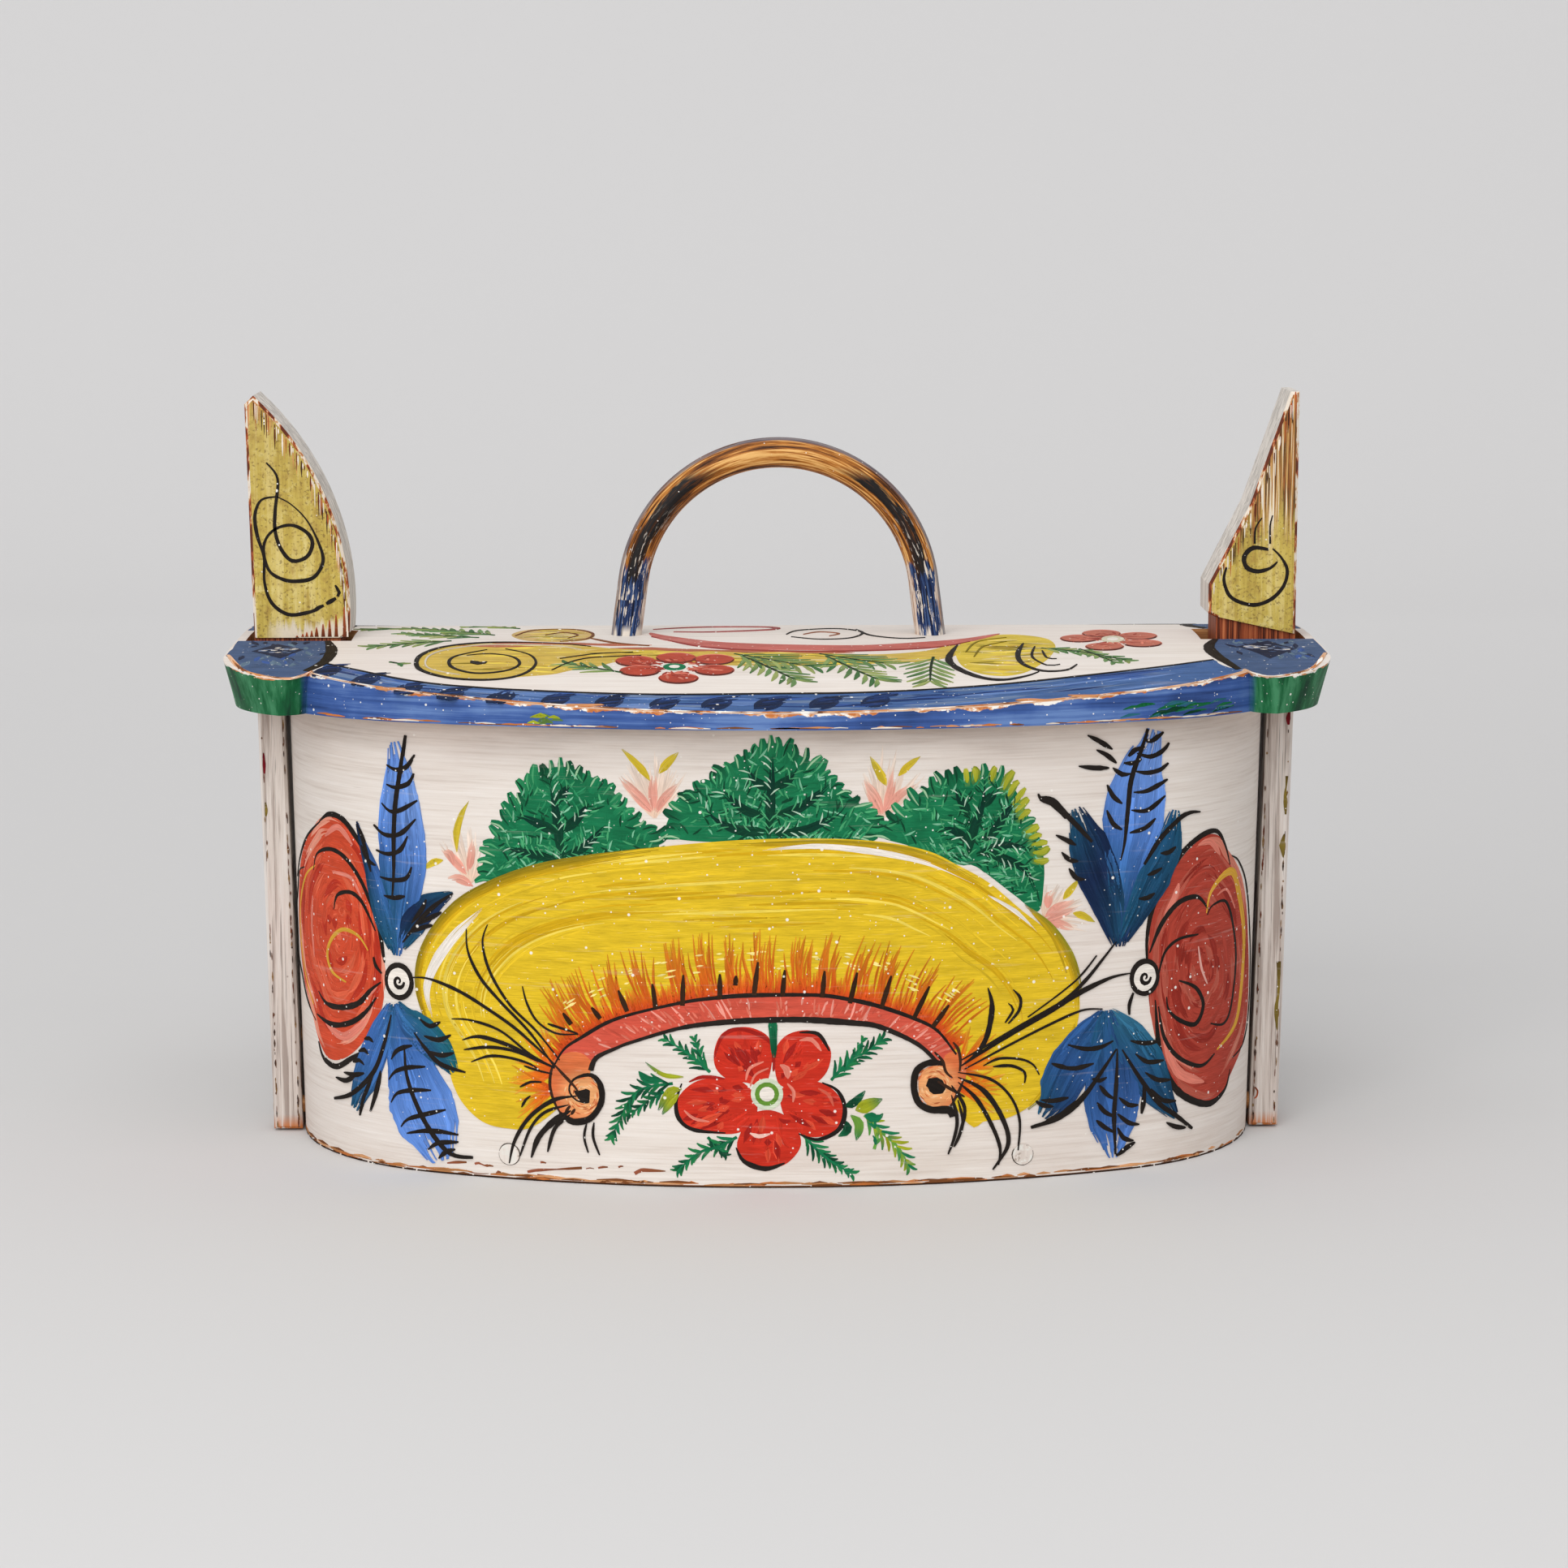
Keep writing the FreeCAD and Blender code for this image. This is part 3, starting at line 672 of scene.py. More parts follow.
for lick in range(LICKS):
    root, rise = flame_root(0.02 + 0.97 * lick / LICKS)
    height, lean = chance.uniform(4.5, 8.5), chance.uniform(-0.12, 0.12)
    tip = root + (rise + Vector((-rise.y, rise.x)) * lean) * height
    cartouche.brush([root - rise, (root + tip) / 2, tip], (1.4, 1.1, 0.3),
                    (FLAME_RED, pigment(208, 84, 28), pigment(214, 146, 36)), 3, step=1.6)
for tongue in FLAME_TONGUES:
    for hair in range(TONGUE_HAIRS):
        root, rise = flame_root(min(0.995, max(0.0, tongue + chance.gauss(0, 0.012))))
        side = Vector((-rise.y, rise.x))
        start = root + rise * chance.uniform(1.0, 6.0)
        tip = root + rise * chance.uniform(13.0, 22.0) + side * chance.gauss(0, 1.2)
        cartouche.brush([start, (start + tip) / 2 + side * 0.6, tip], (0.4, 0.75, 0.15),
                        (pigment(206, 84, 26), pigment(198, 104, 26), pigment(204, 132, 34)), 4, step=2.0)
for gap in zip(FLAME_TONGUES, FLAME_TONGUES[1:]):
    for dab in range(DABS_PER_GAP):
        root, rise = flame_root(sum(gap) / 2 + chance.uniform(-0.014, 0.014))
        start = root + rise * chance.uniform(8.5, 15.0)
        ahead = Vector((rise.y, -rise.x)) * chance.uniform(1.5, 4.0)
        tip = start + ahead
        cartouche.brush([start, start + ahead / 2, tip], (0.2, 0.7, 0.15), (pigment(240, 222, 140),), 4)
for ember in range(EMBERS):
    root, low_turn, high_turn = EMBER_FANS[ember % len(EMBER_FANS)]
    turn, reach = chance.uniform(low_turn, high_turn), chance.uniform(6.0, 17.0)
    tip = root + Vector((math.cos(turn), math.sin(turn))) * reach
    cartouche.brush([root, (root + tip) / 2, tip], (1.6, 1.0, 0.2),
                    (FLAME_RED, FLAME_ORANGE, pigment(214, 156, 44)), 4, step=1.8)

# The band: red, touched with pink across its width, and lined in black along both edges.
BAND_TOUCHES = 170


def at_share(line, share):
    """Point of a fine line nearest below a share of the way along it."""
    return Vector(line[int(share * (len(line) - 1))])


cartouche.patch(BAND_TOP + HOLLOW[::-1], BAND_RED, 5, gap=2.5)
for touch in range(BAND_TOUCHES):
    share = chance.random()
    low, high = at_share(lower_edge, share), at_share(upper_edge, share)
    start, end = sorted((chance.uniform(0.05, 0.95), chance.uniform(0.05, 0.95)))
    lean = Vector((chance.uniform(0.2, 1.4), 0.0))
    middle = low.lerp(high, (start + end) / 2) + lean * 0.6
    route = [low.lerp(high, start), middle, low.lerp(high, end) + lean]
    paint = chance.choice((BAND_PINK, BAND_RED, pigment(214, 112, 92)))
    cartouche.brush(route, (0.3, 0.8, 0.3), (paint,), 6, step=1.0)
cartouche.brush(BAND_TOP, (0.5, 1.3, 0.9, 1.2, 1.5, 1.2, 1.5, 1.2, 0.6), (INK,), 7)
cartouche.brush(HOLLOW, (1.9, 1.0, 1.2, 1.6, 2.0, 1.9, 2.2, 1.8, 1.5, 1.2), (INK,), 7)

# The scrolls: each has its heart, the orange field round it, its ring, its dark eye and finer
# lines, with the widths of the ring and the eye along them.
SCROLL_HAIRS = 60
SCROLL_PEACH_REACH = 4.0
SCROLL_FADE = 6.0
SCROLL_ENDS = (
    ((720, 1350),
     ((681, 1308), (679, 1322), (678, 1337), (681, 1350), (685, 1361), (691, 1371), (699, 1378),
      (711, 1381), (724, 1378), (735, 1367), (739, 1352), (736, 1338), (729, 1328), (727, 1319),
      (729, 1308), (716, 1297), (698, 1297)),
     ((690, 1370), (702, 1380), (712, 1382), (727, 1378), (738, 1365), (742, 1352), (740, 1337),
      (733, 1327), (725, 1324), (715, 1326), (707, 1330), (702, 1338), (703, 1347), (710, 1355),
      (718, 1358)),
     (0.8, 2.1, 2.4, 2.3, 2.1, 2.0, 2.0, 1.9, 1.7, 1.3, 1.1, 0.7, 0.6, 0.6, 0.4),
     ((708, 1344), (713, 1347), (720, 1350), (727, 1351)), (0.4, 2.2, 4.9, 4.0),
     (((683, 1309), (679, 1322), (678, 1337), (681, 1351), (686, 1363), (691, 1371)),
      ((684, 1312), (693, 1322), (707, 1337), (713, 1345)), ((704, 1373), (709, 1366)),
      ((697, 1370), (703, 1362)))),
    ((1151, 1339),
     ((1160, 1312), (1150, 1313), (1138, 1318), (1132, 1331), (1133, 1347), (1142, 1360), (1155, 1366),
      (1167, 1363), (1177, 1353), (1183, 1342), (1189, 1330), (1190, 1317), (1186, 1303), (1176, 1295),
      (1164, 1300)),
     ((1163, 1311), (1155, 1309), (1142, 1310), (1130, 1318), (1126, 1332), (1127, 1347), (1133, 1360),
      (1147, 1367), (1160, 1367), (1170, 1368), (1173, 1376)),
     (1.4, 2.0, 2.0, 2.2, 2.2, 2.1, 2.2, 2.3, 2.3, 3.0, 1.6),
     ((1142, 1333), (1148, 1335), (1155, 1339), (1163, 1344)), (2.6, 5.0, 5.4, 1.6),
     (((1151, 1296), (1161, 1307), (1165, 1320), (1173, 1328)),
      ((1174, 1284), (1180, 1292), (1183, 1306), (1182, 1320)),
      ((1187, 1330), (1182, 1342), (1176, 1354), (1171, 1363)),
      ((1155, 1332), (1172, 1342), (1188, 1351)))))


def scroll_shade(middle):
    """Gives the paint of a scroll's field: peach round its middle, fading to orange."""
    def shade(a, b):
        far = ((Vector((a, b)) - middle).length - SCROLL_PEACH_REACH) / SCROLL_FADE
        return along_list((SCROLL_PEACH, SCROLL_ORANGE), min(1.0, max(0.0, far)))
    return shade


for heart, field, ring, ring_widths, eye, eye_widths, lines in SCROLL_ENDS:
    middle = wall_spot(heart)
    cartouche.patch(wall_line(field), SCROLL_ORANGE, 6, gap=1.5, mottle=0.12, shade=scroll_shade(middle))
    for hair in range(SCROLL_HAIRS):
        turn, reach = chance.uniform(0, 2 * math.pi), chance.uniform(2.6, 7.0)
        swing = [turn + shift / reach for shift in (0.0, 1.0, 2.0)]
        route = [middle + Vector((math.cos(place), math.sin(place))) * reach for place in swing]
        thick = chance.uniform(0.3, 0.7)
        paint = chance.choice((SCROLL_PEACH, pigment(242, 190, 140), SCROLL_ORANGE, pigment(184, 96, 56)))
        cartouche.brush(route, (0.15, thick, 0.15), (paint,), 7, step=0.8)
    cartouche.brush(wall_line(ring), ring_widths, (INK,), 8)
    cartouche.brush(wall_line(eye), eye_widths, (INK,), 8, step=0.6)
    for line in lines:
        cartouche.brush(wall_line(line), (0.5, 1.1, 1.0, 0.5), (pigment(58, 38, 28),), 8, step=0.8)

# Black ticks on the band, and the long fine hairs that fly from the scrolls to the side roses.
BAND_TICKS = (
    ((704, 1262), (694, 1248)), ((740, 1255), (729, 1241)), ((773, 1246), (762, 1220)),
    ((808, 1242), (804, 1212)), ((841, 1239), (842, 1201)), ((887, 1231), (887, 1200)),
    ((906, 1214), (907, 1202)), ((929, 1226), (934, 1185)), ((964, 1227), (967, 1195)),
    ((1013, 1229), (1016, 1196)), ((1047, 1236), (1056, 1198)), ((1086, 1241), (1098, 1202)),
    ((1126, 1254), (1145, 1215)), ((1149, 1265), (1169, 1238)))
FLYING_HAIRS = (
    (((508, 1204), (530, 1206), (566, 1221), (603, 1244), (639, 1270), (684, 1311)), 1.2),
    (((575, 1144), (577, 1172), (592, 1204), (617, 1234), (654, 1273), (684, 1315)), 1.1),
    (((601, 1139), (595, 1161), (604, 1197), (628, 1237), (661, 1270), (690, 1306)), 1.0),
    (((644, 1215), (650, 1237), (663, 1259), (686, 1273), (713, 1274)), 0.8),
    (((675, 1261), (690, 1266), (712, 1273)), 0.9),
    (((557, 1255), (581, 1257), (617, 1270), (654, 1299), (684, 1315)), 0.9),
    (((570, 1281), (592, 1277), (628, 1288), (657, 1303), (684, 1316)), 1.4),
    (((572, 1293), (603, 1290), (635, 1295), (664, 1308)), 1.2),
    (((581, 1308), (603, 1301), (628, 1303), (654, 1311), (668, 1321)), 1.0),
    (((646, 1313), (661, 1318), (681, 1323)), 0.8), (((641, 1339), (654, 1333), (668, 1333)), 1.0),
    (((643, 1364), (648, 1355), (654, 1350)), 0.9),
    (((712, 1350), (683, 1355), (654, 1375), (635, 1404), (628, 1433)), 1.5),
    (((701, 1361), (672, 1370), (654, 1390), (641, 1424)), 1.1),
    (((704, 1368), (683, 1381), (664, 1401), (655, 1426)), 2.2),
    (((703, 1373), (684, 1390), (675, 1419)), 1.4), (((723, 1384), (720, 1401), (725, 1420)), 0.8),
    (((732, 1383), (731, 1401), (739, 1423)), 0.9),
    (((1172, 1349), (1179, 1378), (1176, 1400), (1168, 1422)), 1.2),
    (((1180, 1355), (1186, 1381), (1182, 1400), (1176, 1412)), 0.9),
    (((1392, 1199), (1367, 1205), (1328, 1224), (1293, 1246), (1238, 1278), (1184, 1313)), 1.8),
    (((1375, 1160), (1359, 1181), (1336, 1209), (1308, 1234), (1258, 1263), (1184, 1306)), 1.2),
    (((1351, 1177), (1332, 1201), (1308, 1222), (1266, 1253)), 0.6),
    (((1358, 1243), (1332, 1245), (1293, 1262), (1242, 1288), (1188, 1317)), 0.9),
    (((1217, 1217), (1222, 1240), (1216, 1275), (1203, 1298), (1184, 1313)), 1.9),
    (((1248, 1219), (1257, 1230), (1255, 1245), (1242, 1261)), 1.1),
    (((1242, 1236), (1248, 1244), (1238, 1260)), 0.9),
    (((1211, 1313), (1231, 1304), (1258, 1305), (1273, 1312), (1280, 1324)), 0.9),
    (((1223, 1314), (1246, 1313), (1262, 1321), (1262, 1334)), 1.1),
    (((1180, 1321), (1219, 1329), (1244, 1350), (1256, 1380), (1254, 1417)), 1.0),
    (((1180, 1327), (1211, 1343), (1234, 1376), (1242, 1409), (1223, 1441)), 1.8),
    (((1180, 1333), (1203, 1354), (1223, 1389), (1232, 1415), (1230, 1435)), 1.5),
    (((1172, 1337), (1188, 1364), (1184, 1391), (1175, 1413)), 1.2))
for tick in BAND_TICKS:
    cartouche.brush(wall_line(tick), (1.5, 1.7, 0.6), (pigment(52, 34, 22),), 8, step=0.8)
for pixels, width in FLYING_HAIRS:
    cartouche.brush(wall_line(pixels), (0.3, width, 0.9 * width, 0.8 * width, 0.4), (INK,), 9)
cartouche.dry("body", "wall_paint")

# Green leaf clusters above the cartouche: toothed half rounds built of short strokes.
GREEN = pigment(24, 112, 72)
GREEN_DARK = pigment(14, 66, 44)
GREEN_LIGHT = pigment(72, 158, 106)
YELLOW_GREEN = pigment(152, 160, 36)
TOOTH_PITCH = 3.1
TOUCHES_PER_STEP = 3.4


def leaf_cluster(name, foot, rim_pixels, ribs, fresh_share=0.0):
    """Toothed leaf: foot is where it grows from, then its outer edge and its dark veins. Last comes
    the share of its right-hand teeth that is yellow green."""
    film = PaintFilm(name, on_wall, first_coat=2)
    chance = film.chance
    root, rim = wall_spot(foot), wall_line(rim_pixels)
    film.patch(rim, GREEN, 0, gap=3.0, mottle=0.3)
    edge = smooth(rim, 1.0)
    teeth = int(len(edge) / TOOTH_PITCH)
    for tooth in range(teeth):
        share = (tooth + 0.5) / teeth
        point = at_share(edge, share)
        out = (point - root).normalized()
        if out.y < -0.15:
            continue
        along = Vector((-out.y, out.x))
        tip = point + out * chance.uniform(0.8, 3.6) + along * chance.uniform(-1.4, 1.4)
        fresh = out.x > -0.15 and chance.random() < fresh_share
        paint = YELLOW_GREEN if fresh else chance.choice((GREEN, GREEN, pigment(40, 132, 84), GREEN_DARK))
        thick = chance.uniform(1.9, 3.4)
        film.brush([point - out * 5.0, point, tip], (1.4, thick, thick, 0.5 * thick),
                   (GREEN, paint), 1, step=0.8)
        light = chance.choice((GREEN_LIGHT, GREEN_DARK, pigment(150, 190, 150)))
        film.brush([point - out * 3.0 + along, point + along * 0.5, tip + along * 0.4], (0.2, 0.7, 0.3),
                   (light,), 2, step=0.8)
        if fresh:
            film.brush([point - out * 3.5, point, tip], (0.4, 1.6, 1.9, 0.8),
                       (YELLOW_GREEN, pigment(176, 176, 60)), 4, step=0.8)
    for touch in range(int(len(edge) * TOUCHES_PER_STEP)):
        point = at_share(edge, chance.random())
        start = root.lerp(point, chance.uniform(0.12, 1.0))
        out = (point - root).normalized()
        side = Vector((-out.y, out.x)) * chance.choice((-1, 1))
        tip = start + (out * 0.75 + side * 0.8) * chance.uniform(2.0, 4.2)
        if not within(rim, tip):
            continue
        paint = chance.choice((GREEN_DARK, GREEN, GREEN_LIGHT, pigment(44, 136, 90),
                               pigment(118, 182, 146)))
        film.brush([start, (start + tip) / 2 + side * 0.3, tip], (0.2, 0.75, 0.15),
                   (paint,), 3, step=0.9)
    for rib_pixels in ribs:
        rib = wall_line(rib_pixels)
        film.brush(rib, (1.2, 3.0, 2.2, 0.4), (GREEN_DARK, pigment(10, 44, 40)), 4, hairs=5, dry=0.4)
        spine = [Vector(point) for point in smooth(rib, 2.2)]
        for start, ahead in zip(spine[1:-1], spine[2:]):
            step = ahead - start
            for side in (-1, 1):
                tip = start + step * 1.1 + Vector((-step.y, step.x)) * side * chance.uniform(0.9, 1.4)
                if chance.random() < 0.7 and within(rim, tip):
                    paint = chance.choice((GREEN_DARK, GREEN_LIGHT, GREEN_LIGHT, pigment(176, 204, 180)))
                    film.brush([start, (start + tip) / 2 + step * 0.15, tip],
                               (0.15, 0.55, 0.12), (paint,), 5, step=0.9)
    film.dry("body", "wall_paint")


LEFT_CLUSTER_RIM = (
    (594, 1084), (599, 1052), (612, 1026), (623, 1003), (641, 977), (658, 955), (683, 945), (706, 947),
    (728, 957), (747, 967), (759, 980), (776, 999), (792, 1016), (811, 1027), (799, 1059), (708, 1066),
    (635, 1081))
LEFT_CLUSTER_RIBS = (
    ((693, 1066), (688, 1023), (683, 986), (673, 952)), ((684, 990), (693, 979), (703, 967)),
    ((690, 1026), (708, 1012), (726, 990)), ((688, 1026), (664, 1015), (639, 1004)),
    ((693, 1055), (719, 1044), (748, 1015)), ((690, 1059), (654, 1052), (617, 1041)))
MIDDLE_CLUSTER_RIM = (
    (826, 1031), (829, 997), (840, 980), (868, 969), (884, 951), (903, 939), (922, 927), (940, 918),
    (954, 915), (974, 924), (993, 935), (1011, 946), (1023, 958), (1042, 976), (1063, 994), (1079, 1010),
    (1077, 1031), (1008, 1037), (912, 1038))
MIDDLE_CLUSTER_RIBS = (
    ((947, 1033), (949, 995), (950, 957), (951, 926)), ((949, 1006), (920, 999), (893, 978), (882, 964)),
    ((949, 1006), (985, 995), (1016, 972), (1027, 962)),
    ((947, 1027), (908, 1022), (882, 1010), (866, 991)),
    ((949, 1027), (993, 1022), (1031, 1002), (1046, 983)), ((949, 972), (931, 962), (920, 945)),
    ((950, 972), (973, 960), (985, 941)))
RIGHT_CLUSTER_RIM = (
    (1086, 1031), (1094, 1012), (1123, 985), (1146, 969), (1165, 957), (1180, 953), (1209, 950),
    (1231, 952), (1250, 972), (1261, 994), (1273, 1017), (1282, 1035), (1286, 1061), (1286, 1088),
    (1279, 1123), (1250, 1103), (1203, 1068), (1180, 1065), (1123, 1043))
RIGHT_CLUSTER_RIBS = (
    ((1192, 1061), (1199, 1026), (1209, 994), (1213, 956)), ((1196, 1041), (1180, 1026), (1157, 1018)),
    ((1203, 1037), (1223, 1026), (1242, 998), (1254, 987)), ((1196, 1006), (1184, 987), (1178, 971)),
    ((1209, 994), (1223, 979), (1231, 967)), ((1207, 1049), (1234, 1057), (1262, 1072), (1277, 1103)),
    ((1203, 1053), (1238, 1041), (1269, 1045)))
leaf_cluster("leaf_cluster_left", (693, 1074), LEFT_CLUSTER_RIM, LEFT_CLUSTER_RIBS)
leaf_cluster("leaf_cluster_middle", (949, 1037), MIDDLE_CLUSTER_RIM, MIDDLE_CLUSTER_RIBS)
leaf_cluster("leaf_cluster_right", (1203, 1057), RIGHT_CLUSTER_RIM, RIGHT_CLUSTER_RIBS, fresh_share=0.75)

# Sprays between the clusters: faint flesh-coloured fans, rose petals and two yellow leaves. A
# spray is given by its foot, the tips of its fans, its petals and its leaves.
ROSE_PALE = pigment(226, 150, 134)
LEAF_YELLOW = pigment(206, 180, 50)
FAN_PAINTS = (pigment(232, 196, 170), pigment(228, 204, 186), pigment(224, 212, 200))
SPRAY_PETAL_PAINTS = (ROSE_PALE, pigment(222, 158, 140), pigment(226, 190, 172))
SPRAY_LEAF_PAINTS = (LEAF_YELLOW, LEAF_YELLOW, pigment(190, 176, 70))
SPRAYS = {
    "spray_left": (
        (807, 1008), ((763, 949), (782, 937), (801, 926), (822, 934), (843, 947)),
        (((805, 1002), (790, 987), (769, 966)), ((806, 999), (804, 972), (806, 943)),
         ((809, 1001), (818, 985), (836, 966)), ((803, 995), (782, 976), (763, 957))),
        (((801, 962), (788, 945), (764, 921)), ((812, 953), (822, 941), (836, 927)))),
    "spray_right": (
        (1087, 1008), ((1065, 945), (1083, 930), (1098, 920), (1113, 934), (1140, 949)),
        (((1087, 1004), (1079, 983), (1065, 961)), ((1089, 1002), (1098, 972), (1103, 943)),
         ((1091, 999), (1107, 980), (1128, 965)), ((1086, 1004), (1073, 980), (1066, 970))),
        (((1092, 968), (1084, 953), (1072, 932)), ((1107, 956), (1119, 943), (1134, 932)))),
    "spray_far_left": (
        (581, 1088), ((544, 1030), (561, 1015), (581, 1019), (595, 1041)),
        (((575, 1077), (559, 1059), (543, 1044)), ((577, 1074), (581, 1052), (583, 1034)),
         ((583, 1092), (566, 1083), (549, 1084)), ((559, 1066), (554, 1052), (544, 1048))),
        (((563, 1050), (563, 1026), (569, 1004), (578, 987)), ((546, 1060), (534, 1063), (522, 1071)))),
    "spray_far_right": (
        (1287, 1130), ((1293, 1088), (1312, 1092), (1336, 1111), (1343, 1138)),
        (((1287, 1131), (1301, 1119), (1326, 1109)), ((1291, 1119), (1293, 1103), (1301, 1098)),
         ((1291, 1138), (1304, 1138), (1323, 1145)), ((1287, 1135), (1308, 1127), (1328, 1119))),
        (((1322, 1125), (1334, 1128), (1349, 1136)), ((1310, 1108), (1318, 1098), (1330, 1083))))}
for name, (foot, fans, petals, leaves) in SPRAYS.items():
    film = PaintFilm(name, on_wall)
    root = wall_spot(foot)
    for tip in wall_line(fans):
        film.brush([root, (root + tip) / 2, tip], (1.0, 4.5, 6.0), FAN_PAINTS, 0, hairs=9, dry=0.6)
    for petal in petals:
        film.brush(wall_line(petal), (0.6, 2.6, 2.4, 0.6), SPRAY_PETAL_PAINTS, 1, hairs=4, dry=0.4)
    for leaf in leaves:
        film.brush(wall_line(leaf), (0.4, 2.4, 1.8, 0.2), SPRAY_LEAF_PAINTS, 2, hairs=3, dry=0.15)
    film.dry("body", "wall_paint")

